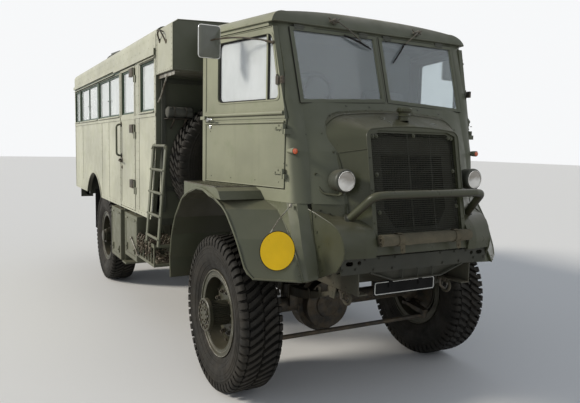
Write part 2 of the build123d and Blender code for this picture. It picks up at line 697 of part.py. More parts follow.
WHEEL_C = (210, -480, 1990)
HAND_WHEEL_R = 215
TILT = 38
tilt = Pos(*WHEEL_C) * Rot(0, -TILT, 0)
steering = tilt * Torus(HAND_WHEEL_R, 14) + tilt * Cylinder(34, 30)
for k in range(3):
    spoke = Pos(HAND_WHEEL_R / 2 + 0.5, 0, 0) * Box(HAND_WHEEL_R + 1, 22, 12)
    steering += tilt * Rot(0, 0, 120 * k) * spoke
COLUMN_L = 800
column_run = Line(WHEEL_C, (WHEEL_C[0] + COLUMN_L * sin(radians(TILT)), WHEEL_C[1],
                            WHEEL_C[2] - COLUMN_L * cos(radians(TILT))))
steering += sweep(Plane(origin=column_run @ 0, z_dir=column_run % 0) * Circle(24), path=column_run)
steering = steering & block(-200, 2000, -1000, 1000, CAB_FLOOR_Z + 20 + SEAT, 2400)
save("steering_wheel", steering)


# Radiator cowl: a tapered nose with rounded shoulders, open towards the grille
COWL_ROOT_X = 600
COWL_ROOT = (560, 1045, 1888, 190)
COWL_FACE = (362, 1045, 1800, 50)
COWL_ARCH = 20
GRILLE_LOW = (915, 1163)
GRILLE_HIGH = (804, 1790)
GRILLE_HALF = 334


def face_x(z):
    (xa, za), (xb, zb) = GRILLE_LOW, GRILLE_HIGH
    return xa + (z - za) * (xb - xa) / (zb - za)


def cowl_section(where, half, z0, z1, r):
    """An arched front outline; where gives x for each height."""
    s = r * (1 - cos(radians(45)))
    top = z1 - COWL_ARCH

    def at(y, z):
        return (where(z), y, z)

    edges = [
        Edge.make_line(at(-half, z0), at(half, z0)),
        Edge.make_line(at(half, z0), at(half, top - r)),
        Edge.make_three_point_arc(at(half, top - r), at(half - s, top - s), at(half - r, top)),
        Edge.make_three_point_arc(at(half - r, top), at(0, z1), at(-half + r, top)),
        Edge.make_three_point_arc(at(-half + r, top), at(-half + s, top - s), at(-half, top - r)),
        Edge.make_line(at(-half, top - r), at(-half, z0)),
    ]
    return Face(Wire.combine(edges)[0])


def cowl_solid(d):
    half_r, z0_r, z1_r, r_r = COWL_ROOT
    half_f, z0_f, z1_f, r_f = COWL_FACE
    root = cowl_section(lambda z: COWL_ROOT_X - d, half_r - d, z0_r - 2 * d, z1_r - d, r_r)
    front = cowl_section(lambda z: face_x(z) + d, half_f - d, z0_f - 2 * d, z1_f - d, r_f)
    return loft([root, front], ruled=True)


cowl_outer = cowl_solid(0)
cowl = cowl_outer - cowl_solid(COWL_T) - cab_outer
GRILLE_Z = (1163, 1748, 1772)
grille_hole = [
    (-GRILLE_HALF, GRILLE_Z[0]), (GRILLE_HALF, GRILLE_Z[0]), (GRILLE_HALF, GRILLE_Z[1]),
    (270, GRILLE_Z[2]), (-270, GRILLE_Z[2]), (-GRILLE_HALF, GRILLE_Z[1]),
]


def face_slab(low, high, deep, proud):
    """A layer along the cowl's sloping face, from deep behind it to proud of it."""
    return prism_xz([(face_x(low) - deep, low), (face_x(low) + proud, low),
                     (face_x(high) + proud, high), (face_x(high) - deep, high)], -500, 500)


cowl += (cowl_outer & face_slab(1040, 1900, 10, 5)) - prism_yz(grille_hole, 600, 1100)
cap_x = 706
cowl += rod_z(34, 1840, 1905, cap_x) + rod_z(43, 1895, 1921, cap_x)
cowl -= rod_z(25, 1700, 1892, cap_x)
save("radiator_cowl", cowl)

# Grille: a framed set of level bars with upright stays, in the cowl's mouth
GRILLE_T = 14
GRILLE_IN = 10 + SEAT
GRILLE_FRAME = 26
BAR_PITCH = 26
BAR_H = 9
GRILLE_OUT = GRILLE_HALF + 12
grille_outline = [
    (-GRILLE_OUT, GRILLE_Z[0] - 13), (GRILLE_OUT, GRILLE_Z[0] - 13), (GRILLE_OUT, GRILLE_Z[1] + 4),
    (280, GRILLE_Z[2] + 4), (-280, GRILLE_Z[2] + 4), (-GRILLE_OUT, GRILLE_Z[1] + 4),
]
open_part = [(y * (1 - GRILLE_FRAME / GRILLE_OUT), z + (GRILLE_FRAME if z < 1200 else -GRILLE_FRAME))
             for y, z in grille_outline]
grille = face_slab(1100, 1900, GRILLE_IN + GRILLE_T, -GRILLE_IN) & prism_yz(grille_outline, 600, 1100)
grille -= prism_yz(open_part, 600, 1100)
bars = None
for k in range(int((GRILLE_Z[1] - GRILLE_Z[0] - 15) / BAR_PITCH)):
    z = GRILLE_Z[0] + 19 + BAR_PITCH * k
    bar = block(600, 1100, -GRILLE_HALF + 8, GRILLE_HALF - 8, z, z + BAR_H)
    bars = bar if bars is None else bars + bar
for y in (-165, 0, 165):
    bars += block(600, 1100, y - 6, y + 6, 1170, 1755)
grille += bars & face_slab(1100, 1900, GRILLE_IN + 11, -GRILLE_IN - 3)
save("radiator_grille", grille)


# Front apron: a rolled sheet each side of the grille; its flat end plates slant in plan
APRON_T = 10
APRON_END = ((721, 640), (918, 577))
APRON_MID_Y = 430
APRON_MID_X = 952
APRON_TIP_X = 912


def apron_y(x):
    """Half-width of the apron's end plate at x."""
    (xa, ya), (xb, yb) = APRON_END
    return ya + (x - xa) * (yb - ya) / (xb - xa)


def apron_plan(d, x0, x1, z0, z1):
    """The room between the apron's end plates, d inside them."""
    ya, yb = apron_y(x0) - d, apron_y(x1) - d
    return prism_xy([(x0, -ya), (x1, -yb), (x1, yb), (x0, ya)], z0, z1)


def apron_face(d, y, reach):
    """Side outline of the apron at y, d inside its outer surface; reach is its foremost x."""
    def at(x, z):
        if x > 655:
            x = 655 + (x - 655) * (reach - 655) / (APRON_MID_X - 655)
        return (x, y, z)

    edges = [
        Edge.make_line(at(600 - d, 854 + d), at(600 - d, 1322)),
        Edge.make_line(at(600 - d, 1322), at(655 - d, 1300 - d)),
        Edge.make_line(at(655 - d, 1300 - d), at(800 - d * 0.5, 1250 - d)),
        Edge.make_three_point_arc(
            at(800 - d * 0.5, 1250 - d), at(912 - d * 0.8, 1190 - d * 0.7), at(APRON_MID_X - d, 1080)),
        Edge.make_line(at(APRON_MID_X - d, 1080), at(945 - d, 1036)),
        Edge.make_line(at(945 - d, 1036), at(893 - d, 954 + d * 0.6)),
        Edge.make_line(at(893 - d, 954 + d * 0.6), at(662 - d * 0.3, 854 + d)),
        Edge.make_line(at(662 - d * 0.3, 854 + d), at(600 - d, 854 + d)),
    ]
    return Face(Wire.combine(edges)[0])


def apron_solid(d):
    tip_y = apron_y(600)
    stations = [
        (-tip_y, APRON_TIP_X), (-APRON_MID_Y, APRON_MID_X), (APRON_MID_Y, APRON_MID_X),
        (tip_y, APRON_TIP_X),
    ]
    body = loft([apron_face(d, y, reach) for y, reach in stations], ruled=True)
    return body & apron_plan(d, 560, 1000, 800, 1400)


apron_outer = apron_solid(0)
apron = apron_outer - apron_solid(APRON_T)
apron -= apron_plan(APRON_T, 560, 1000, 800, 1034)
apron -= apron_plan(APRON_T, 560, 640, 800, 1400)
apron -= cab_outer + cowl_outer
apron -= block(700, 1100, -COWL_FACE[0] - 1, COWL_FACE[0] + 1, 1030, 1400)
save("front_apron", apron)


# Bumper plate with towing holes, and the dished guard below the radiator
BUMPER_X = (889 + SEAT, 897)
BUMPER_HALF = apron_y(BUMPER_X[1]) - APRON_T - SEAT
BUMPER_Z = (936, 1030)
bumper = block(*BUMPER_X, -BUMPER_HALF, BUMPER_HALF, *BUMPER_Z)
SLOT_Z = 1000
for side in (1, -1):
    slot_plane = Plane(origin=(850, side * 515, SLOT_Z), x_dir=(0, 1, 0), z_dir=(1, 0, 0))
    bumper -= extrude(slot_plane * SlotOverall(52, 26), amount=100)
    bumper -= rod_x(13, 850, 950, side * 446, SLOT_Z)
    y0, y1 = sorted((side * 452, side * BUMPER_HALF))
    bumper += block(850, BUMPER_X[0] + 1, y0, y1, BUMPER_Z[0], BUMPER_Z[0] + 8)
guard = prism_yz([(-370, 940), (-190, 872), (190, 872), (370, 940)], 850, BUMPER_X[0] + 1)
guard -= prism_yz([(-354, 941), (-188, 880), (188, 880), (354, 941)], 840, 980)
bumper += guard
save("front_bumper", bumper)

bar = bent_tube(
    [(760, 486, 1200), (985, 420, 1396), (BAR_REACH - 24, 340, 1403), (BAR_REACH - 24, -340, 1403),
     (985, -420, 1396), (760, -486, 1200)], 24, 60)
bar -= apron_outer
save("guard_bar", max(bar.solids(), key=lambda s: s.volume))

# Tow loops on the rails' front ends, and the rear pintle
loops = []
TOW_X = SPRING_HALF + 100
for side in (1, -1):
    y = side * 405
    ring = Pos(TOW_X, y, RAIL_Z0 - 52) * Rot(90, 0, 0) * Torus(40, 9)
    lug = block(TOW_X - 30, TOW_X + 30, y - 9, y + 9, RAIL_Z0 - 30, RAIL_Z0)
    loops.append(ring + lug)
JAW_Z = (850, 930)
PINTLE_X = BODY_REAR + 35
pintle = block(RAIL_REAR - 8, RAIL_REAR, -70, 70, RAIL_Z0 + 10, RAIL_Z1 - 10)
for z in JAW_Z:
    pintle += block(BODY_REAR, RAIL_REAR - 7, -45, 45, z - 18, z)
pintle += rod_z(20, JAW_Z[0] - 10, JAW_Z[1] - 10, PINTLE_X)
save("tow_gear", *loops, pintle)


# Lamps
LAMP = (827, 509, 1473)
LAMP_R = 70
LENS_R = 60
bowl = [
    (0, -128), (34, -124), (56, -104), (LAMP_R - 4, -68), (LAMP_R - 4, -22), (LAMP_R, -22), (LAMP_R, -2),
    (LENS_R, 4), (LENS_R, 0), (LENS_R * 0.6, 9), (0, 13),
]
lamp = Pos(*LAMP) * Rot(0, 0, -90) * turned(bowl)
lamp += rod_x(16, 640, LAMP[0] - 110, LAMP[1], LAMP[2])
lamp += block(640, LAMP[0] - 67, LAMP[1] - 10, LAMP[1] + 10, LAMP[2] - 81, LAMP[2] - 61)
lamp -= cab_outer + cowl_outer
lamp = max(lamp.solids(), key=lambda s: s.volume)
MARKER = (592, 735, 1639)
marker = rod_x(17, MARKER[0] - 52, *MARKER) + rod_y(9, 690, MARKER[1], MARKER[0] - 17, MARKER[2])
marker -= cab_outer
marker = max(marker.solids(), key=lambda s: s.volume)
save("front_lamps", lamp, other_side(lamp), marker, other_side(marker))


# Front mudguards: an arched sheet, swept back at the front, with a flat step plate on top.
# Rows of x at WING_A, x at WING_B, z going over the arch from the rear to the front foot.
WING_A = 600
WING_B = 1110
WING_IN = 620
WING_OUT = 1095
WING_T = 10
STEP_X = (-345, 250)
STEP_Z = 1405
WING_ROWS = [
    (-642, -642, 654), (-658, -658, 803), (-613, -613, 990), (-529, -529, 1134), (-369, -369, 1289),
    (-242, -242, 1341), (-75, -75, 1380), (58, 58, 1382), (359, 232, 1342), (548, 313, 1279),
    (736, 430, 1116), (876, 496, 947), (924, 510, 880),
]
WING_FOOT_Z = 894
WING_EDGE = [
    (1100, 1345), (1080, 1310), (1060, 1279), (1040, 1116), (1022, 950), (1010, 917),
    (985, WING_FOOT_Z),
]


def beside(points, t):
    """The same row of points moved t to the right of its direction of travel."""
    moved = []
    for i, (x, z) in enumerate(points):
        xa, za = points[max(i - 1, 0)]
        xb, zb = points[min(i + 1, len(points) - 1)]
        run = sqrt((xb - xa) ** 2 + (zb - za) ** 2)
        moved.append((x + t * (zb - za) / run, z - t * (xb - xa) / run))
    return moved


def wing_face(y, rows):
    outline = rows + beside(rows, WING_T)[::-1]
    return Face(Wire.make_polygon([(x, y, z) for x, z in outline]))


sheet = loft([
    wing_face(WING_A, [(a, z) for a, b, z in WING_ROWS]),
    wing_face(WING_B, [(b, z) for a, b, z in WING_ROWS]),
], ruled=True)
SWEEP_X = 58
front_edge = prism_yz([(WING_IN, WING_FOOT_Z)] + WING_EDGE[::-1] + [(WING_OUT, 1400), (WING_IN, 1400)],
                      SWEEP_X - 1, 1000)
wing = sheet & (block(-700, SWEEP_X, WING_IN, WING_OUT, 600, 1450) + front_edge)
step_rows = [
    (STEP_X[0], STEP_Z), (STEP_X[1], STEP_Z), (300, 1385), (340, 1335), (232, 1341), (58, 1381),
    (-75, 1379), (-242, 1340), (STEP_X[0], 1297),
]
step_clear = prism_xy([
    (-700, side_y(-700) + SEAT), (CAB_FRONT_X, side_y(CAB_FRONT_X) + SEAT), (CAB_FRONT_X, 1200),
    (-700, 1200),
], 1200, 1500)
wing += prism_xz(step_rows, WING_IN, WING_OUT - 8) & step_clear

# Corner panel between the cab's sill, the apron's end plate and the mudguard's inner edge.
# Rows of height and the outline's x; each column has its y, and its outward direction in plan.
CORNER_COLUMNS = [(1, 0), (0.7, 0.7), (0.2, 1), (0.2, 1)]
CORNER_ROWS = [
    (CAB_SILL_Z - SEAT, [(665, 640), (621, 715), (545, 745), (330, 792)]),
    (1086, [(721, 640), (712, 725), (667, 757), (560, 757)]),
    (WING_FOOT_Z, [(762, 640), (775, 715), (779, 757), (640, 757)]),
]


def corner_face(z, points):
    inner = [(x - WING_T * dx, y - WING_T * dy) for (x, y), (dx, dy) in zip(points, CORNER_COLUMNS)]
    return Face(Wire.make_polygon([(x, y, z) for x, y in points + inner[::-1]]))


corner = loft([corner_face(z, points) for z, points in CORNER_ROWS], ruled=True)
PANEL_IN = 750
wing -= block(470, 1100, 0, PANEL_IN, 600, 1500)
wing = wing + corner
wing -= block(CAB_REAR - 10, 760, 0, 1000, CAB_SILL_Z - SEAT, 1500) & cab_solid(-SEAT, lift=1)
wing -= apron_plan(-SEAT, 560, 1000, 600, 1400)
wing = max(wing.solids(), key=lambda s: s.volume)
save("mudguard_left", wing)
save("mudguard_right", other_side(wing))


# Blank number plate and the round blank sign
PLATE_X = (776, 782)
GUARD_Z = 872 - SEAT
plate = block(*PLATE_X, -250, 250, 752, 846)
for y in (-120, 120):
    plate += block(PLATE_X[1] - 1, PLATE_X[1] + 5, y - 15, y + 15, 800, GUARD_Z)
    plate += block(PLATE_X[1] - 1, 880, y - 15, y + 15, GUARD_Z - 6, GUARD_Z)
SIGN = (644, -860, 1071)
SIGN_R = 116
SIGN_LEAN = 5
sign = Pos(*SIGN) * Rot(0, 90 - SIGN_LEAN, 0) * Cylinder(SIGN_R, 4)
sign += block(560, SIGN[0] + 1, SIGN[1] - 10, SIGN[1] + 10, SIGN[2] - 10, SIGN[2] + 10)
sign -= other_side(wing)
sign = max(sign.solids(), key=lambda s: s.volume)
save("sign_plates", plate, sign)

# Rolled radiator muff under the grille
ROLL_R = 40
ROLL_Z = 1136
ROLL_X = face_x(ROLL_Z) + ROLL_R + 1
save("canvas_roll", rod_y(ROLL_R, -350, 350, ROLL_X, ROLL_Z))


# Box body: floor on bearers, with covers over the rear wheels
BEARER_XS = [-1050, -1850, -2470, REAR_AXLE + 610, REAR_AXLE - 610, -4900]
WHEEL_BOX = (REAR_AXLE - 550, REAR_AXLE + 550, 700)
inside = BODY_HALF - BODY_WALL - SEAT
within_walls = (BODY_REAR + BODY_WALL + SEAT, BODY_FRONT - BODY_WALL - SEAT)
body_floor = block(*within_walls, -inside, inside, FLOOR_Z, FLOOR_Z + FLOOR_T)
for side in (1, -1):
    y0, y1 = sorted((side * 380, side * 440))
    body_floor += block(BODY_REAR + 60, BODY_FRONT - 60, y0, y1, RAIL_Z1, FLOOR_Z + 1)
for x in BEARER_XS:
    body_floor += block(x - 30, x + 30, -inside + 10, inside - 10, 1000, FLOOR_Z + 1)
for side in (1, -1):
    y0, y1 = sorted((side * WHEEL_BOX[2], side * inside))
    body_floor += block(WHEEL_BOX[0], WHEEL_BOX[1], y0, y1, FLOOR_Z, 1340)
    y0, y1 = sorted((side * (WHEEL_BOX[2] + 20), side * (inside + 1)))
    body_floor -= block(WHEEL_BOX[0] + 20, WHEEL_BOX[1] - 20, y0, y1, FLOOR_Z - 10, 1320)
save("body_floor", body_floor)

# Body sides: rows of window edges along x
WINDOW_Z = (1930, 2330)
WINDOWS = [(-4960, -4625), (-4540, -3375), (-3290, -2245), (-1440, -1010)]
DOOR_WINDOW = (-2140, -1670)
side_outline = [
    (BODY_REAR, BODY_Z0), (-1110, BODY_Z0), (-1104, FLOOR_Z), (BODY_FRONT, 1640),
    (BODY_FRONT, ROOF_EDGE_Z), (BODY_REAR, ROOF_EDGE_Z),
]
WALL_CUT = (BODY_HALF - BODY_WALL - 20, BODY_HALF + 40)


def body_side(windows):
    wall = prism_xz(side_outline, BODY_HALF - BODY_WALL, BODY_HALF)
    wall += block(BODY_REAR, BODY_FRONT, BODY_HALF - 1, BODY_HALF + 7, WAIST_Z - 12, WAIST_Z + 12)
    wall -= rod_y(ARCH_R, *WALL_CUT, REAR_AXLE, ARCH_Z)
    for x0, x1 in windows:
        wall -= block(x0, x1, *WALL_CUT, *WINDOW_Z)
    return wall


WINDOWS_LEFT = WINDOWS[:3] + [(-2160, -1525), WINDOWS[3]]
side_left = body_side(WINDOWS_LEFT)
side_right = other_side(body_side(WINDOWS))
side_right -= block(SIDE_DOOR_X[0] - DOOR_GAP, SIDE_DOOR_X[1] + DOOR_GAP, -WALL_CUT[1], -WALL_CUT[0],
                    SIDE_DOOR_Z[0] - DOOR_GAP, SIDE_DOOR_Z[1] + DOOR_GAP)
SIDE_HINGE_X = SIDE_DOOR_X[1] + 3
SIDE_HINGE_R = 8
SIDE_HINGE_Y = -BODY_HALF - SIDE_HINGE_R - 2
side_door = block(*SIDE_DOOR_X, -BODY_HALF, -BODY_HALF + BODY_WALL, *SIDE_DOOR_Z)
side_door -= block(*DOOR_WINDOW, -WALL_CUT[1], -WALL_CUT[0], *WINDOW_Z)
for z in (1270, 1765, 2260):
    lower, upper = barrels(SIDE_HINGE_R, 60, SIDE_HINGE_X, SIDE_HINGE_Y, z)
    side_right += lower
    side_right += block(SIDE_HINGE_X, SIDE_HINGE_X + 30, SIDE_HINGE_Y, -BODY_HALF + 1, z - 60, z - SEAT)
    side_door += upper
    side_door += block(SIDE_HINGE_X - 130, SIDE_HINGE_X, SIDE_HINGE_Y, -BODY_HALF + 1, z, z + 60)
GRAB_X = SIDE_DOOR_X[0] + 25
GRAB_Y = (-BODY_HALF + 2, -BODY_HALF - 50)
GRAB_Z = (1543, 1842)
side_door += bent_tube([
    (GRAB_X, GRAB_Y[0], GRAB_Z[1]), (GRAB_X, GRAB_Y[1], GRAB_Z[1]), (GRAB_X, GRAB_Y[1], GRAB_Z[0]),
    (GRAB_X, GRAB_Y[0], GRAB_Z[0]),
], 10, 30)
save("body_side_left", side_left)
save("body_side_right", side_right)
save("side_door", side_door)


def pane(x0, x1, y, z0, z1):
    return block(x0 + SEAT, x1 - SEAT, y, y + GLASS_T, z0 + SEAT, z1 - SEAT)


GLASS_Y = BODY_HALF - BODY_WALL / 2
panes = [pane(x0, x1, -GLASS_Y, *WINDOW_Z) for x0, x1 in WINDOWS]
panes += [pane(x0, x1, GLASS_Y, *WINDOW_Z) for x0, x1 in WINDOWS_LEFT]
save("fixed_glass", screen_glass, other_side(screen_glass), *panes)
save("side_door_glass", pane(*DOOR_WINDOW, -GLASS_Y, *WINDOW_Z))


# Body end walls
MOUTH_Y = inside - 60
front_wall = block(BODY_FRONT - BODY_WALL, BODY_FRONT, -inside, inside, FLOOR_Z, ROOF_EDGE_Z - SEAT)
front_wall -= block(
    BODY_FRONT - 100, BODY_FRONT + 100, -MOUTH_Y, MOUTH_Y, LUTON_Z0 + 40, ROOF_EDGE_Z + 10)
SPARE = (-795, -495, 1495)
front_wall += rod_x(70, BODY_FRONT - 1, SPARE[0] + 22 - SEAT, SPARE[1], SPARE[2])
save("body_front_wall", front_wall)
rear_wall = block(BODY_REAR, BODY_REAR + BODY_WALL, -inside, inside, FLOOR_Z, ROOF_EDGE_Z)
save("body_rear_wall", rear_wall)


# Body roof: an arched shell with rain strips along its edges
def body_roof_face(x, d):
    half, z0 = BODY_HALF + 4 - d, ROOF_EDGE_Z
    r = SHOULDER_R - d
    low = SHOULDER_Z - SHOULDER_R
    in_y, in_z = half - r * (1 - cos(radians(45))), low + r * sin(radians(45))

    def at(y, z):
        return (x, y, z)

    edges = [
        Edge.make_line(at(half, z0), at(half, low)),
        Edge.make_three_point_arc(at(half, low), at(in_y, in_z), at(half - r, low + r)),
        Edge.make_three_point_arc(at(half - r, low + r), at(0, BODY_CROWN_Z - d), at(-half + r, low + r)),
        Edge.make_three_point_arc(at(-half + r, low + r), at(-in_y, in_z), at(-half, low)),
        Edge.make_line(at(-half, low), at(-half, z0)),
        Edge.make_line(at(-half, z0), at(half, z0)),
    ]
    return Face(Wire(edges))


BODY_ROOF_T = 20
STRIP_STEP_X = -2424
body_roof = extrude(body_roof_face(BODY_REAR, 0), amount=BODY_FRONT - SEAT - BODY_REAR, dir=(1, 0, 0))
body_roof -= extrude(body_roof_face(BODY_REAR + BODY_WALL, BODY_ROOF_T),
                     amount=BODY_FRONT - BODY_REAR, dir=(1, 0, 0))
STRIPS = [
    # side, rear x, front x, lower edge
    (-1, STRIP_STEP_X, BODY_FRONT - 1, SIDE_DOOR_Z[1] + DOOR_GAP),
    (-1, BODY_REAR, STRIP_STEP_X, ROOF_EDGE_Z - 22),
    (1, BODY_REAR, BODY_FRONT - 1, ROOF_EDGE_Z - 22),
]
for side, x0, x1, z0 in STRIPS:
    y0, y1 = sorted((side * (BODY_HALF + SEAT), side * (BODY_HALF + 20)))
    body_roof += block(x0, x1, y0, y1, z0, ROOF_EDGE_Z + 12)
save("body_roof", body_roof)


# Overhanging front compartment above the spare wheel
def luton_outline(d):
    half = BODY_HALF - d
    return [
        (-half, LUTON_Z0 + d), (half, LUTON_Z0 + d), (half, LUTON_Z1 - d),
        (half - 40, LUTON_Z1 + 24 - d), (0, LUTON_Z1 + 76 - d), (-half + 40, LUTON_Z1 + 24 - d),
        (-half, LUTON_Z1 - d),
    ]


luton = prism_yz(luton_outline(0), BODY_FRONT + SEAT, LUTON_FRONT)
luton -= prism_yz(luton_outline(20), BODY_FRONT + 12, LUTON_FRONT - 20)
luton -= block(BODY_FRONT - 10, BODY_FRONT + 20, -MOUTH_Y, MOUTH_Y, LUTON_Z0 + 40, ROOF_EDGE_Z - 20)
save("luton_compartment", luton)


# Lockers and the fuel tank, hung below the body
HUNG_TOP = 1000
HUNG_OUT = BODY_HALF - 10
LOCKER_Y = (-HUNG_OUT, -800)
LOCKERS = [
    # rear x, front x, bottom
    (-2691, -2252, 490),
    (-2078, -1607, 585),
]
lockers = [block(x0, x1, *LOCKER_Y, z0, HUNG_TOP) for x0, x1, z0 in LOCKERS]
save("side_lockers", *lockers, other_side(lockers[0]))
TANK_X = (-2070, -1240)
TANK_Y = (790, HUNG_OUT - 15)
TANK_Z0 = 560
save("fuel_tank", block(*TANK_X, *TANK_Y, TANK_Z0, HUNG_TOP))

# Open rack for chains: rows of rails, then slats between them, on two hangers
RACK_X = (-1592, -1061)
RACK_Y = (LOCKER_Y[0], -866)
RACK_Z = (645, 830)
RACK_BAR = 16
rack = block(*RACK_X, *RACK_Y, RACK_Z[0], RACK_Z[0] + 8)
for z0 in (RACK_Z[0], RACK_Z[1] - 24):
    rack += block(*RACK_X, *RACK_Y, z0, z0 + 24)
    rack -= block(RACK_X[0] + RACK_BAR, RACK_X[1] - RACK_BAR, RACK_Y[0] + RACK_BAR, RACK_Y[1] - RACK_BAR,
                  RACK_Z[0] + 8, RACK_Z[1] + 1)
RACK_SLATS = 7
for k in range(RACK_SLATS):
    x = RACK_X[0] + (RACK_X[1] - RACK_X[0] - RACK_BAR) * k / (RACK_SLATS - 1)
    rack += block(x, x + RACK_BAR, RACK_Y[0], RACK_Y[0] + 8, RACK_Z[0] + 1, RACK_Z[1] - 1)
for x in (RACK_X[0] + RACK_BAR, RACK_X[1] - 89):
    rack += block(x, x + 30, RACK_Y[1] - 24, RACK_Y[1], RACK_Z[0] + 5, FLOOR_Z - SEAT)
save("chain_rack", rack)


# Access ladder at the body's front corner and the hanging step below the side door
STILE_HALF = (22, 6)


def stile(top, foot):
    """A flat bar standing from foot to top, level at both ends."""
    dx, dy = STILE_HALF
    rows = []
    for x, y, z in (top, foot):
        corners = [(x - dx, y - dy, z), (x + dx, y - dy, z), (x + dx, y + dy, z), (x - dx, y + dy, z)]
        rows.append(Face(Wire.make_polygon(corners)))
    return loft(rows, ruled=True)


RUNG_R = 11
LADDER_TOP = (-985, -BODY_HALF - SEAT - RUNG_R, 1650)
LADDER_LEAN = 35
LADDER_FOOT = (-1114, -BODY_HALF - LADDER_LEAN, 868)
LADDER_W = 332
RUNG_SHARES = [0, 0.24, 0.47, 0.7, 0.93]
ladder = stile(LADDER_TOP, LADDER_FOOT)
ladder += Pos(LADDER_W, 0, 0) * stile(LADDER_TOP, LADDER_FOOT)
for share in RUNG_SHARES:
    x, y, z = [a + (b - a) * share for a, b in zip(LADDER_TOP, LADDER_FOOT)]
    ladder += rod_x(RUNG_R, x, x + LADDER_W, y, z)
STEP_PLATE = (-2240, -2090)
STEP_PLATE_Y = (15 - BODY_HALF, -880)
STEP_PLATE_Z = 476
hanging_step = block(*STEP_PLATE, *STEP_PLATE_Y, STEP_PLATE_Z, STEP_PLATE_Z + 16)
hanging_step += block(STEP_PLATE[0], STEP_PLATE[0] + 12, STEP_PLATE_Y[0] + 26, STEP_PLATE_Y[1],
                      STEP_PLATE_Z + 4, FLOOR_Z - SEAT)
save("access_steps", ladder, hanging_step)

# Rear mudflaps and lamps
FLAP_Z0 = 556
flap = block(WHEEL_BOX[0] - 10, WHEEL_BOX[0], WHEEL_Y - 140, WHEEL_Y + 140, FLAP_Z0, FLOOR_Z - SEAT)
save("mudflaps", flap, other_side(flap))
REAR_LAMP = (960, 960)
REAR_LAMP_R = 45
rear_lamp = rod_x(REAR_LAMP_R, BODY_REAR, BODY_REAR + 60, *REAR_LAMP)
rear_lamp += block(BODY_REAR + 40, BODY_REAR + 60, 900, 1060, 900, FLOOR_Z - SEAT)
save("rear_lamps", rear_lamp, other_side(rear_lamp))


# Spare wheel, flat to the recess's back wall
upright = Pos(*SPARE) * Rot(0, 0, -90)
save("spare_rim", upright * wheel_disc(60))
save("spare_tyre", upright * wheel_tyre)
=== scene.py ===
"""Looks for the four-wheel-drive truck with the box body.

Lengths are millimetres from the point on the ground under the front axle's centre, as in
the part's source, and at() turns them into the row frame's metres. What both sides have is
built as the left one and mirrored, and a * in a name stands for left or right.
"""
import random
from math import ceil, cos, exp, pi, prod, radians, sin, sqrt, tau
import bmesh
import bpy
from mathutils import Matrix, Vector


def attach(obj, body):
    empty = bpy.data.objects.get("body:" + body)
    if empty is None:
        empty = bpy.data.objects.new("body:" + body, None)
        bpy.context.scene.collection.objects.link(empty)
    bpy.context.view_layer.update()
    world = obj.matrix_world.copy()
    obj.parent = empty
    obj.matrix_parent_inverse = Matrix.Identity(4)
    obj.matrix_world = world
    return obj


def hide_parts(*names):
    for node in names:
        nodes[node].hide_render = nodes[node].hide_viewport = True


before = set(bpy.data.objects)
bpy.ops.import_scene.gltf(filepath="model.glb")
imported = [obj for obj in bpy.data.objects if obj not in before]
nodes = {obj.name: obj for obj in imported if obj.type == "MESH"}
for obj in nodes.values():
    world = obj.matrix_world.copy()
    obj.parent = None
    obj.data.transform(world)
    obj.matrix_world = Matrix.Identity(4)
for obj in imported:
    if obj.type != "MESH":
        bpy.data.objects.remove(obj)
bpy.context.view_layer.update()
random.seed(7)

MID_LENGTH = -1986.5
REAR_AXLE = -3632
WHEEL_Y = 864
TYRE_R = 530
HAND = {1: "left", -1: "right"}
AHEAD, BACK, LEFT, UP, DOWN = (1, 0, 0), (-1, 0, 0), (0, 1, 0), (0, 0, 1), (0, 0, -1)
add_to_scene = bpy.context.scene.collection.objects.link


def vec(x, y, z):
    return Vector((x, y, z))


def at(x, y, z):
    return vec((x - MID_LENGTH) / 1000, y / 1000, z / 1000)


def both(name):
    """The names that a name with a * stands for."""
    return [name.replace("*", hand) for hand in HAND.values()] if "*" in name else [name]


# Camera at the photograph's place and angle
CAMERA_AT = (3589, -2394, 1672)
YAW, PITCH, ROLL = (radians(degrees) for degrees in (151.18, -5.54, 1.14))
FOCAL, PICTURE_WIDTH = 577.8, 580
forward = vec(cos(YAW) * cos(PITCH), sin(YAW) * cos(PITCH), sin(PITCH))
flat_right = vec(sin(YAW), -cos(YAW), 0)
flat_up = flat_right.cross(forward)
right = cos(ROLL) * flat_right + sin(ROLL) * flat_up
up = -sin(ROLL) * flat_right + cos(ROLL) * flat_up
camera = bpy.data.objects.new("camera", bpy.data.cameras.new("camera"))
add_to_scene(camera)
turned = Matrix((right, up, -forward)).transposed().to_4x4()
camera.matrix_world = Matrix.Translation(at(*CAMERA_AT)) @ turned
camera.data.sensor_width = 36
camera.data.lens = FOCAL / PICTURE_WIDTH * camera.data.sensor_width
bpy.context.scene.camera = camera
bpy.context.scene.view_settings.view_transform = "Standard"

# Node trees
SOCKETS = {"colour": "Base Color", "rough": "Roughness", "metal": "Metallic", "coat": "Coat Weight",
           "gloss": "Specular IOR Level", "clear": "Transmission Weight", "bend": "IOR"}


class Nodes:
    """A node tree built from short calls."""

    def __init__(self, tree):
        self.tree = tree

    def add(self, kind, inputs=None, **settings):
        node = self.tree.nodes.new(kind)
        for key, value in settings.items():
            setattr(node, key, value)
        for key, value in (inputs or {}).items():
            self.put(node.inputs[key], value)
        return node

    def put(self, socket, value):
        if isinstance(value, bpy.types.NodeSocket):
            self.tree.links.new(value, socket)
        else:
            socket.default_value = value

    def maths(self, operation, a, b=0.0):
        return self.add("ShaderNodeMath", {0: a, 1: b}, operation=operation).outputs[0]


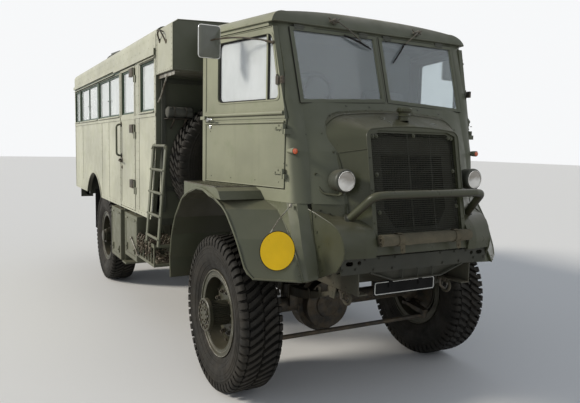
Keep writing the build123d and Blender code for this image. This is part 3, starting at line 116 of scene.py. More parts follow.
class Look(Nodes):
    """A material's nodes."""

    def __init__(self, name):
        self.material = bpy.data.materials.new(name)
        self.material.use_nodes = True
        super().__init__(self.material.node_tree)
        self.shader = self.tree.nodes["Principled BSDF"]
        spots = self.add("ShaderNodeTexCoord")
        self.place = spots.outputs["Object"]
        self.normal = spots.outputs["Normal"]

    def noise(self, scale, detail=4, rough=0.55, stretch=(1, 1, 1)):
        spread = self.add("ShaderNodeMapping", {"Vector": self.place, "Scale": stretch})
        return self.add("ShaderNodeTexNoise", {"Vector": spread.outputs["Vector"], "Scale": scale,
                                               "Detail": detail, "Roughness": rough}).outputs["Fac"]

    def band(self, value, low, high, to_low=0.0, to_high=1.0):
        ends = {"Value": value, "From Min": low, "From Max": high, "To Min": to_low, "To Max": to_high}
        return self.add("ShaderNodeMapRange", ends, interpolation_type="SMOOTHSTEP").outputs["Result"]

    def mix(self, share, a, b):
        a, b = ((*c, 1) if isinstance(c, tuple) else c for c in (a, b))
        return self.add("ShaderNodeMix", {0: share, 6: a, 7: b}, data_type="RGBA").outputs[2]

    def bump(self, height, strength, distance):
        node = self.add("ShaderNodeBump", {"Height": height, "Strength": strength, "Distance": distance})
        self.put(self.shader.inputs["Normal"], node.outputs["Normal"])

    def axis(self, vector, index):
        return self.add("ShaderNodeSeparateXYZ", {0: vector}).outputs[index]

    def finish(self, **values):
        for word, value in values.items():
            self.put(self.shader.inputs[SOCKETS[word]], value)
        return self.material


def shade(colour, share):
    return tuple(c * share for c in colour)


# Materials
DUST = (0.30, 0.26, 0.19)
# Painted shade: the dark olive that faces looking forward are darkened towards.
FORWARD_SHADE = (0.068, 0.074, 0.050)
# Mud's colour, also the tint of the painted shade on faces that look down.
MUD_AND_SHADE = (0.085, 0.066, 0.043)
PRIMER = (0.10, 0.075, 0.05)
GLASS_BEND = 1.45


def paint(name, base, rough=0.5, dust=0.35, mud=0.5, worn=0.0, painted_light=0.0):
    """Brushed-on service paint: uneven tone, rain streaks, dust on top, road dirt low down, and painted
    shade on the faces that look forward and on those that look down.

    The last argument sets how much painted shade darkens the faces that look forward.
    """
    g = Look(name)
    colour = g.mix(g.band(g.noise(1.7, 5), 0.3, 0.7), shade(base, 0.86), shade(base, 1.13))
    patch = g.band(g.noise(7, 6, 0.65), 0.52, 0.72, 0, 0.45)
    colour = g.mix(patch, colour, (base[0] * 0.78, base[1] * 0.84, base[2] * 0.72))
    streak = g.band(g.noise(1.0, 5, stretch=(16, 16, 0.7)), 0.52, 0.78, 0, 0.34)
    colour = g.mix(streak, colour, shade(base, 0.62))
    # Painted shade: faces that look forward are darkened towards a dark olive, as far as the last argument
    # says.
    if painted_light:
        colour = g.mix(g.band(g.axis(g.normal, 0), 0.26, 0.66, 0, painted_light), colour, FORWARD_SHADE)
    level = g.band(g.axis(g.normal, 2), 0.45, 0.95)
    settled = g.maths("MULTIPLY", level, g.band(g.noise(5, 6), 0.3, 0.75, dust * 0.25, dust))
    colour = g.mix(settled, colour, DUST)
    low = g.band(g.axis(g.place, 2), 1.15, 0.45)
    thrown = g.maths("MULTIPLY", low, g.band(g.noise(9, 8, 0.7), 0.36, 0.66, mud * 0.15, mud))
    colour = g.mix(thrown, colour, MUD_AND_SHADE)
    chips = g.band(g.noise(38, 8, 0.8), 0.74 - worn, 0.80 - worn)
    colour = g.mix(g.maths("MULTIPLY", chips, 0.55), colour, PRIMER)
    # Painted shade: faces that look down are darkened towards a deep brown.
    colour = g.mix(g.band(g.axis(g.normal, 2), -0.2, -0.8, 0, 0.7), colour, shade(MUD_AND_SHADE, 0.35))
    g.bump(g.maths("ADD", g.noise(4, 3), g.maths("MULTIPLY", g.noise(150, 4), 0.12)), 0.35, 0.003)
    rough = g.band(g.noise(11, 5), 0.25, 0.75, rough - 0.09, rough + 0.13)
    g.finish(colour=colour, gloss=0.3, rough=rough)


def cast(name, base, rough=0.62):
    """Oily cast and forged metal with road dirt."""
    g = Look(name)
    colour = g.mix(g.band(g.noise(14, 7, 0.7), 0.35, 0.65), base, MUD_AND_SHADE)
    colour = g.mix(g.band(g.noise(60, 5), 0.55, 0.7, 0, 0.6), colour, shade(base, 0.5))
    g.bump(g.noise(220, 6, 0.7), 0.4, 0.0012)
    rough = g.band(g.noise(20), 0.3, 0.7, rough - 0.15, rough + 0.2)
    g.finish(colour=colour, rough=rough, metal=0.25, gloss=0.3)


def rubber(name, base, dirt, share):
    """Weathered tyre rubber with dust in its hollows."""
    g = Look(name)
    colour = g.mix(g.band(g.noise(5, 6, 0.7), 0.3, 0.7, 0, share), base, dirt)
    colour = g.mix(g.band(g.noise(70, 6, 0.75), 0.5, 0.75, 0, share * 0.8), colour, shade(dirt, 1.2))
    g.bump(g.noise(240, 6, 0.7), 0.35, 0.001)
    g.finish(colour=colour, rough=g.band(g.noise(16), 0.3, 0.7, 0.6, 0.85), gloss=0.18)


def glass(name, tint, painted_light, share, front_reflection=None, front_share=0.0):
    """Thin clear glass under a painted pale reflection in smeared patches; the truck's front panes have a
    painted blue sky reflection of their own.
    """
    g = Look(name)
    reflection_patches = g.band(g.noise(2.2, 5, stretch=(1, 1, 0.5)), 0.3, 0.75, 0.85, 1.15)
    if front_reflection:
        ahead = g.band(g.axis(g.place, 0), 1.4, 1.6)
        painted_light = g.mix(ahead, painted_light, front_reflection)
        share = g.band(ahead, 0, 1, share, front_share)
    amount = g.maths("MULTIPLY", reflection_patches, share)
    g.finish(colour=g.mix(amount, tint, painted_light), clear=g.maths("SUBTRACT", 1.0, amount), bend=GLASS_BEND,
             rough=g.band(g.noise(3, 6, 0.7), 0.35, 0.8, 0.02, 0.06))


def lamp_glass(name, bright, dull, split):
    """Lamp glass with painted reflections: painted bright below the split's height and duller above."""
    g = Look(name)
    height = g.maths("ADD", g.axis(g.place, 2), g.band(g.noise(11, 3), 0.3, 0.7, -0.012, 0.012))
    colour = g.mix(g.band(height, split - 0.012, split + 0.030), bright, dull)
    rough = g.band(g.noise(3, 6, 0.7), 0.35, 0.8, 0.02, 0.06)
    g.finish(colour=colour, coat=1.0, clear=0.2, bend=GLASS_BEND, rough=rough)


def coloured(name, base, rough=0.4, patchy=0.12, grain=40, metal=0.0, coat=0.0, fine=0.0004, gloss=0.5):
    """A single colour with faint patches and grain."""
    g = Look(name)
    colour = g.mix(g.band(g.noise(6, 5), 0.3, 0.7), shade(base, 1 - patchy), shade(base, 1 + patchy))
    specks = g.band(g.noise(grain, 6, 0.7), 0.62, 0.78, 0, 0.35)
    g.bump(g.noise(grain * 6, 4), 0.3, fine)
    g.finish(colour=g.mix(specks, colour, shade(base, 0.55)), metal=metal, coat=coat, gloss=gloss,
             rough=g.band(g.noise(13, 4), 0.3, 0.7, max(0.03, rough - 0.08), rough + 0.1))


def silvered(name, base, rough=0.02):
    """Silvering with the faintest haze."""
    g = Look(name)
    haze = g.band(g.noise(9, 4), 0.3, 0.7)
    rough = g.band(haze, 0, 1, rough, rough + 0.05)
    g.finish(colour=g.mix(haze, base, shade(base, 0.93)), rough=rough, metal=1.0)


def woven(name, base, threads=520):
    """Heavy woven cloth with worn, dusty patches."""
    g = Look(name)
    waves = [g.add("ShaderNodeTexWave", {"Vector": g.place, "Scale": threads / 6.283, "Distortion": 0.6},
                   bands_direction=way).outputs["Fac"] for way in "XYZ"]
    colour = g.mix(g.band(g.noise(12, 6, 0.7), 0.35, 0.7), shade(base, 0.8), shade(base, 1.22))
    g.bump(g.maths("ADD", g.maths("ADD", waves[0], waves[1]), waves[2]), 0.35, 0.0006)
    g.finish(colour=g.mix(g.band(g.noise(5, 5), 0.5, 0.75, 0, 0.5), colour, shade(base, 0.55)), rough=0.9)


# One green paint in lit and shaded copies: the body's is a paler copy with sunlight painted in, and the
# nose's, the mudguards' and the bumper's are darker copies with shade painted in.
paint("paint_green", (0.235, 0.240, 0.165), rough=0.46, painted_light=0.90)
paint("paint_body_sunlit", (0.400, 0.400, 0.310), rough=0.45, painted_light=0.93)
paint("paint_nose_shaded", (0.049, 0.052, 0.029), rough=0.34, dust=0.20)
paint("paint_guard_shaded", (0.100, 0.105, 0.062), rough=0.36, dust=0.30, painted_light=0.75)
paint("paint_bumper_shaded", (0.024, 0.026, 0.018), rough=0.45, dust=0.16)
paint("paint_locker", (0.120, 0.124, 0.084), rough=0.48, mud=0.35)
paint("paint_dark", (0.055, 0.058, 0.045), rough=0.45, dust=0.2)
paint("paint_under", (0.05, 0.05, 0.036), rough=0.62, mud=0.9, worn=0.06)
paint("paint_wheel", (0.040, 0.042, 0.027), rough=0.36, mud=0.32)
# Painted shade: a dark green for the window sashes and posts, which lie in shade under the roof's edge.
paint("painted_shade_green", (0.030, 0.062, 0.036), rough=0.4, dust=0.1)
paint("shroud_paint", (0.036, 0.035, 0.024), rough=0.7, dust=0.1)
coloured("plate_black", (0.006, 0.006, 0.006), rough=0.62, gloss=0.12)
coloured("plate_white", (0.62, 0.62, 0.58))
coloured("sign_yellow", (0.93, 0.58, 0.004), rough=0.35, patchy=0.06, gloss=0.3)
coloured("lens_orange", (0.62, 0.10, 0.025), rough=0.18, coat=0.6)
coloured("lens_red", (0.32, 0.012, 0.010), rough=0.15, coat=0.7)
coloured("mesh_metal", (0.036, 0.037, 0.026), rough=0.5, gloss=0.25)
coloured("core_black", (0.010, 0.011, 0.009), rough=0.6, gloss=0.2)
coloured("metal_bright", (0.62, 0.62, 0.60), rough=0.16, metal=1.0, patchy=0.06)
coloured("mirror_back", (0.115, 0.120, 0.098), rough=0.42)
coloured("seat_leather", (0.055, 0.050, 0.038), rough=0.5, grain=120, fine=0.0012)
# Painted shade: an opaque dark pane that stands for the dark inside seen through the rear door windows.
coloured("glass_painted_dark_inside", (0.035, 0.045, 0.048), rough=0.06, coat=1.0, fine=0.00003)
cast("metal_dark", (0.045, 0.042, 0.036))
cast("metal_oily", (0.030, 0.029, 0.027), rough=0.5)
cast("metal_worn", (0.10, 0.095, 0.080), rough=0.45)
cast("metal_pale", (0.33, 0.32, 0.27), rough=0.45)
cast("chain_steel", (0.145, 0.120, 0.088), rough=0.42)
cast("rusty", (0.12, 0.066, 0.040), rough=0.8)
silvered("mirror_glass", (0.85, 0.86, 0.88))
silvered("reflector", (0.95, 0.93, 0.88), 0.11)
rubber("tyre_rubber", (0.014, 0.0135, 0.012), (0.050, 0.043, 0.033), 0.42)
rubber("seal_rubber", (0.012, 0.012, 0.012), (0.05, 0.045, 0.04), 0.3)
woven("canvas_cloth", (0.094, 0.082, 0.052))
woven("canvas_strap", (0.098, 0.083, 0.050), threads=700)
woven("canvas_grey", (0.085, 0.085, 0.070))
# The pale and blue tones on these panes are painted reflections.
glass("clear_glass", (0.80, 0.86, 0.86), (0.80, 0.83, 0.80), 0.55, (0.08, 0.22, 0.42), 0.15)
glass("door_glass", (0.90, 0.95, 0.95), (0.93, 0.95, 0.96), 0.5)
glass("inner_glass", (0.95, 0.98, 0.98), (0.6, 0.62, 0.62), 0.04)
lamp_glass("lens_glass", (0.97, 0.94, 0.88), (0.34, 0.30, 0.24), 1.466)

for material_name, names in {
    "paint_body_sunlit": "body_side_* body_roof body_front_wall body_rear_wall luton_compartment side_door"
                  " rear_lamps",
    "paint_green": "cab_shell cab_roof cab_door_* windscreen_frames",
    "paint_guard_shaded": "mudguard_*",
    "paint_locker": "side_lockers access_steps chain_rack fuel_tank",
    "paint_bumper_shaded": "front_bumper",
    "paint_nose_shaded": "radiator_cowl front_apron guard_bar radiator_grille front_lamps",
    "paint_dark": "spare_rim body_floor",
    "paint_under": "chassis_frame leaf_springs tow_gear cab_floor",
    "paint_wheel": "rim_front_* rim_rear_*",
    "metal_dark": "front_axle rear_axle knuckle_* track_rod mirror_*",
    "metal_oily": "engine_and_radiator driveline",
    "tyre_rubber": "tyre_front_* tyre_rear_* spare_tyre",
    "seal_rubber": "mudflaps steering_wheel",
    "seat_leather": "seats",
    "canvas_cloth": "canvas_roll",
    "plate_black": "sign_plates",
    "clear_glass": "fixed_glass",
    "door_glass": "cab_door_glass_right side_door_glass",
    "inner_glass": "cab_door_glass_left",
}.items():
    for name in names.split():
        for node_name in both(name):
            slots = nodes[node_name].data.materials
            slots.clear()
            slots.append(bpy.data.materials[material_name])


# Mesh pieces, gathered from simple shapes in millimetres
def frame_along(direction):
    """Two directions across the given one."""
    ahead = Vector(direction).normalized()
    across = ahead.cross(Vector(UP))
    if across.length < 0.01:
        across = ahead.cross(Vector(AHEAD))
    across.normalize()
    return across, across.cross(ahead).normalized()


def turns(count, start=0.0):
    """The angles of one full turn in equal steps."""
    return [start + tau * k / count for k in range(count)]


def ring(centre, direction, r, sides):
    a, b = frame_along(direction)
    return [Vector(centre) + r * (cos(t) * a + sin(t) * b) for t in turns(sides)]


def between(a, b, t):
    return a + (b - a) * t


def shares(steps):
    """0 to 1 in equal steps."""
    return [k / steps for k in range(steps + 1)]


def spread(start, end, steps):
    return [between(start, end, t) for t in shares(steps)]


def row(start, end, count):
    """Places spread evenly from start to end."""
    return [tuple(between(a, b, t) for a, b in zip(start, end)) for t in shares(count - 1)]


POINT_R = 0.05


class Piece:
    """One mesh object; its places are in millimetres, and mirrored where side is -1."""

    def __init__(self, name, side=1):
        self.name = name
        self.side = side
        self.mesh = bmesh.new()

    def sides(self):
        """What follows is built on the left and then on the right."""
        for self.side in HAND:
            yield self.side
        self.side = 1

    def grid(self, rows, closed=True, capped=True):
        """Faces between rows of points; a closed row joins its own ends."""
        made = [[self.mesh.verts.new((p[0], self.side * p[1], p[2])) for p in points] for points in rows]
        for low, high in zip(made, made[1:]):
            count = len(low)
            for i in range(count if closed else count - 1):
                j = (i + 1) % count
                self.mesh.faces.new((low[i], low[j], high[j], high[i]))
        if closed and capped:
            self.mesh.faces.new(made[0][::-1])
            self.mesh.faces.new(made[-1])
        return self

    def box(self, x, y, z):
        """A block between the ends of x, y and z."""
        near, far = y[::self.side]
        corners = ((x[0], near), (x[1], near), (x[1], far), (x[0], far))
        return self.grid([[(*corner, height) for corner in corners] for height in z])

    def rod(self, start, end, r, sides=16, r_end=None):
        run = Vector(end) - Vector(start)
        return self.grid([ring(start, run, r, sides), ring(end, run, r_end or r, sides)])

    def lathe(self, profile, centre, direction, sides=32):
        """Rings from rows of radius and distance along direction; a radius of 0 ends in a point."""
        ahead = Vector(direction).normalized()
        return self.grid([ring(Vector(centre) + ahead * d, ahead, max(r, POINT_R), sides)
                          for r, d in profile])

    def tube(self, points, r, sides=8, loop=False):
        """A round bar through the points, with its section carried along."""
        path = [Vector(p) for p in points]
        count = len(path)
        rows = []
        across = None
        for i, p in enumerate(path):
            before = path[i - 1] if i or loop else p
            after = path[(i + 1) % count] if i < count - 1 or loop else p
            ahead = (after - before).normalized()
            if across is None:
                across = frame_along(ahead)[0]
            across = (across - ahead * across.dot(ahead)).normalized()
            over = ahead.cross(across)
            rows.append([p + r * (cos(t) * across + sin(t) * over) for t in turns(sides)])
        return self.grid(rows + rows[:loop], capped=not loop)

    def prism(self, outline, push):
        """A flat outline given in space, carried along push."""
        base = [Vector(p) for p in outline]
        return self.grid([base, [p + Vector(push) for p in base]])

    def bolt(self, place, out, r=9, h=7, washer=True):
        """A hexagon head with its washer, standing out from a surface."""
        away = Vector(out).normalized()
        if washer:
            self.rod(place, Vector(place) + away * 2, r * 1.45, 14)
        return self.rod(place, Vector(place) + away * h, r, 6)

    def bolts(self, places, out, r=9, h=7, washer=True):
        for place in places:
            self.bolt(place, out, r, h, washer)
        return self

    def rivets(self, places, out, r=6):
        for place in places:
            profile = [(r, -1), (r * 0.92, r * 0.28), (r * 0.55, r * 0.55), (0, r * 0.62)]
            self.lathe(profile, place, out, 8)
        return self

    def done(self, material, body="truck", slot=None, bevel=0.0, smooth=38, replaces=None):
        bmesh.ops.remove_doubles(self.mesh, verts=self.mesh.verts, dist=0.02)
        bmesh.ops.recalc_face_normals(self.mesh, faces=self.mesh.faces)
        for v in self.mesh.verts:
            v.co = at(*v.co)
        hand = HAND[self.side]
        name, body, replaces = (word and word.replace("*", hand) for word in (self.name, body, replaces))
        data = bpy.data.meshes.new(name)
        self.mesh.to_mesh(data)
        self.mesh.free()
        data.shade_smooth()
        data.set_sharp_from_angle(angle=radians(smooth))
        data.materials.append(bpy.data.materials[material])
        obj = bpy.data.objects.new(name, data)
        add_to_scene(obj)
        if bevel:
            edge = obj.modifiers.new("edge", "BEVEL")
            edge.width = bevel / 1000
            edge.segments = 2
            edge.limit_method = "ANGLE"
            edge.angle_limit = radians(35)
            edge.harden_normals = False
        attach(obj, body)
        if replaces:
            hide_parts(replaces)
        return obj


def eased(before, corner, after, radius, share, steps):
    """A corner's curve, which takes at most a share of the way to its neighbours."""
    a, b = before - corner, after - corner
    reach = min(radius, a.length * share, b.length * share)
    p, q = corner + a.normalized() * reach, corner + b.normalized() * reach
    return [(1 - t) ** 2 * p + 2 * t * (1 - t) * corner + t ** 2 * q for t in shares(steps)]


def bent(points, radius, steps=6):
    """A line with its inner corners rounded."""
    path = [Vector(p) for p in points]
    curves = [eased(*three, radius, 0.48, steps) for three in zip(path, path[1:], path[2:])]
    return path[:1] + sum(curves, []) + path[-1:]


def rounded(points, radius, steps=5):
    """A closed outline with its corners rounded."""
    path = [Vector(p) for p in points]
    ends = zip(path[-1:] + path, path, path[1:] + path[:1])
    return sum((eased(*three, radius, 0.45, steps) for three in ends), [])


# Tyres: a turned casing with curved bars and shoulder blocks, point-symmetric about the middle
BARS = 58
CASING = [
    (254.8, 84), (254.8, 92.2), (292.6, 92.4), (296, 99), (303, 105), (312, 110), (318, 111), (321, 114),
    (327, 115), (348, 127), (372, 134.5), (398, 138), (424, 138.5), (440, 137), (442, 139.6), (450, 139.4),
    (452, 136.5), (468, 133), (482, 127), (494, 116), (500, 102), (503, 60), (504, 0),
]
# Columns: y, outer radius, half-width, lean along the tread
BAR_ROWS = [(5, 526, 11, 62), (24, 529, 13, 47), (44, 529.5, 14, 33), (64, 529.5, 14.5, 20),
            (82, 529.2, 15, 10), (97, 528.5, 15, 4)]
BLOCK_ROWS = [(104, 527, 17, 3), (118, 525, 18.5, 0), (130, 517, 19, 0), (138, 500, 18, 0),
              (139.5, 474, 15, 0)]
BLOCK_SHIFT = 0.18
BASE_R = 496
RAISED_RINGS = ((333, 118.5), (360, 130.8), (410, 138.4), (430, 138))
RIM_RINGS = {
    ("rim_edge", "paint_wheel", 8): ((289, 104, 6.5), (289, -104, 6.5), (262, 100, 4), (247, 96, 3)),
    # The thin pale rings on the rims' lips are painted highlights.
    ("rim_worn_edge", "metal_pale", 6): ((291.5, 109.2, 2.2), (263, 103.2, 1.6), (248, 98.6, 1.2)),
}
HUB_RIB = ((77, -0.045), (84, -0.03), (84, 0.03), (77, 0.045))
SPARE_AT = vec(-795, -495, 1495)


def circle(r, y, count, start=0.0):
    return [(r * cos(t), y, r * sin(t)) for t in turns(count, start)]


def placed(place, points):
    return [place @ Vector(p) for p in points]


def tyre(name, body, side, place, kind):
    """One tyre; place turns its own axes, with the axle along +Y, into the truck's."""
    part = Piece(f"tread_{name}", side)
    rows = [placed(place, circle(r, y, 120)) for r, y in CASING + [(r, -y) for r, y in CASING[-2::-1]]]
    part.grid(rows + rows[:1], capped=False)
    pitch = tau / BARS
    for flip in (1, -1):
        for k in range(BARS):
            middle = pitch * (k + (0.5 if flip < 0 else 0))
            for columns, shift in ((BAR_ROWS, 0), (BLOCK_ROWS, BLOCK_SHIFT)):
                bar = []
                for y, r, w, lean in columns:
                    a = middle + flip * (lean / TYRE_R + shift * pitch)
                    low = min(BASE_R, r - 12)
                    corners = ((low, -w - 2.5), (r, -w), (r, w), (low, w + 2.5))
                    bar.append(placed(place, [(reach * cos(a + off / TYRE_R), flip * y,
                                               reach * sin(a + off / TYRE_R)) for reach, off in corners]))
                part.grid(bar)
    for r, y in RAISED_RINGS:
        for flip in (1, -1):
            part.tube(placed(place, circle(r, flip * y, 96)), 1.8, 6, loop=True)
    node = "spare_tyre" if kind == "spare" else f"tyre_{name}"
    part.done("tyre_rubber", body, slot="tyre", smooth=32, replaces=node)


def dress_wheel(name, body, side, place, kind):
    """Rolled rim edges with painted highlights along their lips, and nuts, and the ribbed hub barrel with
    its bolted flange.
    """
    out = place.to_3x3() @ Vector(LEFT)
    for (title, material, sides), rings in RIM_RINGS.items():
        part = Piece(f"{title}_{name}", side)
        for r, y, thick in rings:
            part.tube(placed(place, circle(r, y, 72)), thick, sides, loop=True)
        part.done(material, body, smooth=60)
    nuts = Piece(f"wheel_nuts_{name}", side)
    for p in placed(place, circle(143, 35, 10, 0.1)):
        nuts.bolt(p, out, 14, 20).rod(p + out * 18, p + out * 30, 7.5, 10)
    nuts.bolts(placed(place, circle(212, 13, 16, 0.2)), out, 10, 13)
    if kind == "front":
        nuts.bolts(placed(place, circle(84, 191, 12, 0.15)), out, 9, 12)
        nuts.bolts(placed(place, circle(45, 199, 8, 0.3)), out, 6, 8, washer=False)
    elif kind == "rear":
        nuts.bolts(placed(place, circle(44, 149, 8, 0.15)), out, 7, 9)
    nuts.done("metal_worn", body, smooth=30)
    if kind == "spare":
        return
    barrel = Piece(f"hub_barrel_{name}", side)
    reach = 166 if kind == "front" else 116
    for t in turns(36):
        barrel.grid([placed(place, [(r * cos(t + d), y, r * sin(t + d)) for r, d in HUB_RIB])
                     for y in (40, reach)])
    if kind == "front":
        barrel.lathe([(100, 0), (110, 1), (111, 6), (111, 26), (106, 30), (98, 31), (96, 25), (96, 24),
                      (100, 0)],
                     place @ vec(0, 168, 0), out, 48)
    else:
        barrel.lathe([(64, -2), (66, 0), (66, 5), (58, 9), (30, 14), (0, 15)], place @ vec(0, 149, 0), out)
    barrel.done("paint_wheel", body, smooth=30)


wheels = [(f"{end}_*", f"wheel_{end}_*", side, Matrix.Translation((x, WHEEL_Y, TYRE_R)), end)
          for end, x in (("front", 0), ("rear", REAR_AXLE)) for side in HAND]
upright = Matrix.Translation(SPARE_AT) @ Matrix.Rotation(radians(-90), 4, "Z")
wheels.append(("spare", "truck", 1, upright, "spare"))
for wheel in wheels:
    tyre(*wheel)
for wheel in wheels:
    dress_wheel(*wheel)


# Cab: doors, mirrors, windscreens and what shows through the glass
CAB_OUT = vec(0.2151, 0.9766, 0)
SCREEN_OUT = vec(0.9583, 0, 0.2854)
DOOR_FOOT = 1416
DOOR_EDGE_AT_GUIDE = 471.05
WINDOW = [(462, 1950), (386, 2348), (-172, 2348), (-172, 1950)]
PANE = [(10, 1962), (654, 1930), (668, 2402), (10, 2406)]


def side_y(x):
    return 745 + (545 - x) * 0.2203


def skin(x, z, out=0.0):
    """A point on the cab's left side, standing out from its skin."""
    return vec(x, side_y(x), z) + CAB_OUT * out


def skins(*places):
    return [skin(*place) for place in places]


def on_screen(y, z, out=0.0):
    """A point in the windscreen's slope."""
    return vec(530 - (z - 1950) * 140 / 470, y, z) + SCREEN_OUT * out


def middle_of(outline):
    return sum(outline, Vector()) / len(outline)


def grown(outline, middle, reach):
    """An outline moved away from its middle, or towards it."""
    return [p + (p - middle).normalized() * reach for p in outline]


def band(piece, outline, middle, width, low, high, out):
    """A flat band inside a closed outline, low to high along out."""
    profile = ((0, low), (0, high), (width, high), (width, low), (0, low))
    piece.grid([[p + out * rise for p in grown(outline, middle, -shift)] for shift, rise in profile],
               capped=False)


def door_window(side):
    outline = rounded(skins(*WINDOW), 42, 7)
    middle = middle_of(outline)
    part = Piece("door_window_frame_*", side)
    band(part, grown(outline, middle, 17), middle, 16, -1, 3.2, CAB_OUT)
    part.done("paint_green", "cab_door_*", bevel=1.2)
    part = Piece("door_window_seal_*", side)
    band(part, grown(outline, middle, -0.5), middle, 13, -15.5, -8, CAB_OUT)
    for x in (330, 352):
        part.rod(skin(x, 1956, -11), skin(x, 2342, -11), 4.5, 8)
    part.done("seal_rubber", "cab_door_*")


def door_outside(side):
    """Rails, edges, hinge straps, sliding guide and handle."""
    part = Piece("door_trim_*", side)
    part.tube(skins((-314, 1812, 2), (150, 1812, 2), (518, 1812, 2)), 8.5, 10)
    part.tube(skins((-316, 1866, 5), (130, 1866, 5), (512, 1866, 5)), 15, 12)
    part.tube(skins((-312, 1415), (120, 1415), (520, 1415)), 4)
    part.tube(skins((-315, DOOR_FOOT), (-315, 1800)), 4)
    part.tube(skins((522, DOOR_FOOT), (522, 1800)), 4)
    part.tube(skins((-315, 1900), (-315, 2386), (-150, 2388), (384, 2388)), 4)
    part.rivets(skins((-250, 1450), (-20, 1450), (240, 1450), (470, 1450), (-265, 1760), (470, 1760)),
                CAB_OUT, 5)
    part.done("paint_green", "cab_door_*")

    part = Piece("door_hinge_straps_*", side)
    for z in (1500, 1769):
        part.prism(skins((430, z - 2, 7), (520, z - 2, 7), (520, z + 32, 7), (448, z + 32, 7),
                         (430, z + 22, 7)),
                   CAB_OUT * 5)
        part.bolts(skins((452, z + 8, 12), (478, z + 22, 12), (504, z + 8, 12)), CAB_OUT, 5.5, 5,
                   washer=False)
        part.rod(skin(533, z + 60, 14), skin(533, z + 66, 14), 8, 12, 5)
    part.done("paint_green", "cab_door_*", bevel=0.8)

    x = DOOR_EDGE_AT_GUIDE
    y = side_y(x)
    part = Piece("door_guide_*", side).box((x - 40, x - 4), (y + 2, y + 14), (2038, 2086))
    part.rod(skin(x - 22, 2034, 8), skin(x - 22, 2098, 8), 6.5, 14)
    part.done("metal_worn", "cab_door_*", bevel=2)
    part = Piece("door_keep_*", side).box((x + 9, x + 40), (y - 8, y + 9), (2040, 2084))
    part.bolts([(x + 26, y + 9, 2054), (x + 26, y + 9, 2072)], LEFT, 6, 5)
    part.done("metal_dark", bevel=2)

    part = Piece("door_handle_trim_*", side)
    part.lathe([(24, 0), (24, 5), (19, 10), (13, 12)], skin(-290, 1850, 5), CAB_OUT, 24)
    part.lathe([(15, 0), (15, 26), (11, 33), (0, 35)], skin(-290, 1850, 6), CAB_OUT, 20)
    part.tube(bent(skins((-290, 1850, 32), (-262, 1846, 40), (-190, 1838, 42)), 20), 8, 10)
    part.lathe([(0, -10), (9, -7), (11, 0), (9, 7), (0, 10)], skin(-188, 1838, 42),
               skin(-180, 1838) - skin(-190, 1838), 14)
    part.lathe([(13, 0), (13, 6), (8, 8)], skin(-262, 1790), CAB_OUT, 16)
    part.done("metal_bright", "cab_door_*")


def mirror(side):
    """A dished back, a bright rim and the glass, on a thin bowed arm."""
    head = vec(8, 1036, 2326)
    place = {"body": "cab_door_*", "slot": "black_metal", "replaces": "mirror_*"}

    def edge(half_y, half_z, ahead, r):
        return rounded([head + vec(ahead, a * half_y, b * half_z)
                        for a, b in ((-1, -1), (1, -1), (1, 1), (-1, 1))], r, 4)

    part = Piece("mirror_head_*", side)
    part.grid([edge(69, 98, -16, 20), edge(73.5, 102.5, -12, 20), edge(73.5, 102.5, -3, 20),
               edge(68, 96, 4, 18), edge(34, 46, 15, 14), edge(20, 30, 17, 10)])
    part.lathe([(9, 0), (9, -10), (6, -14)], head + vec(17.5, 0, 6), AHEAD, 16)
    part.done("mirror_back", bevel=1.5, **place)
    part = Piece("mirror_rim_*", side)
    part.tube(edge(73.5, 102.5, -5, 20), 3.8, loop=True).done("metal_bright", **place)
    part = Piece("mirror_glass_*", side)
    part.grid([edge(68, 97, -17.2, 19), edge(68, 97, -15.5, 19)]).done("mirror_glass", **place)
    part = Piece("mirror_arm_*", side)
    part.tube(bent([skin(398, 2292, 6), skin(330, 2312, 30), (150, side_y(150) + 84, 2346),
                    head + vec(22, -20, 12), head + vec(13, 0, 4)], 110, 8), 5.5, 10)
    part.rod(skin(406, 2289, 3), skin(352, 2304, 22), 9, 12, 7)
    part.lathe([(13, 0), (13, 4), (9, 8)], skin(402, 2290), CAB_OUT, 18)
    part.done("metal_dark", **place)


def marker(side):
    """An orange marker lamp with its bright cup, on the cab's shoulder."""
    part = Piece("marker_cup_*", side)
    part.lathe([(13, -80), (15, -66), (19.5, -24), (19.5, -2), (17, 0), (16, -3)], (624, 735, 1639),
               AHEAD, 24)
    part.lathe([(17, 0), (17, 4), (10, 7)], (556, 718, 1639), (0.55, 0.84, 0), 18)
    part.done("paint_green")
    part = Piece("marker_lens_*", side)
    part.lathe([(16.4, -4), (16.4, 1), (12, 5.5), (6, 8), (0, 8.6)], (624, 735, 1639), AHEAD, 24)
    part.done("lens_orange")


def windscreen(side):
    """Dark seal and riveted beading."""
    outline = [on_screen(y, z) for y, z in PANE]
    middle = middle_of(outline)
    part = Piece("screen_seal_*", side)
    band(part, grown(rounded(outline, 14, 4), middle, 5), middle, 7, -4, 2.0, SCREEN_OUT)
    part.done("seal_rubber")
    part = Piece("screen_beading_*", side)
    part.tube([p - SCREEN_OUT * 4 for p in rounded(grown(outline, middle, -30), 16)], 5, loop=True)
    nails = rounded(grown(outline, middle, -14), 16)[::3]
    part.rivets([p + SCREEN_OUT * 4 for p in nails], SCREEN_OUT, 3.5)
    for y in (160, 330, 500):
        part.rivets([on_screen(y, 1952 + (654 - y) * 0.05, 4), on_screen(y, 2392, 4)], SCREEN_OUT, 4)
    part.done("paint_green")


for side in HAND:
    door_window(side)
    door_outside(side)
    mirror(side)
    marker(side)
for side in HAND:
    windscreen(side)

part = Piece("screen_hinges")
for y in (-601, -116, 82, 543):
    place = on_screen(y, 2408, 5)
    part.rod(place - vec(0, 38, 0), place + vec(0, 38, 0), 6.5, 12)
    for corners, thick in ((((3, -34, -26), (3, 34, -26), (0, 34, 0), (0, -34, 0)), 4),
                           (((0, -22, 0), (0, 22, 0), (-12, 10, 30), (-12, -10, 30)), 5)):
        part.prism([place + Vector(corner) for corner in corners], SCREEN_OUT * thick)
    part.bolts([place + vec(5, dy, -16) for dy in (-22, 22)], SCREEN_OUT, 4.5, 4, washer=False)
part.done("paint_dark", bevel=0.6)

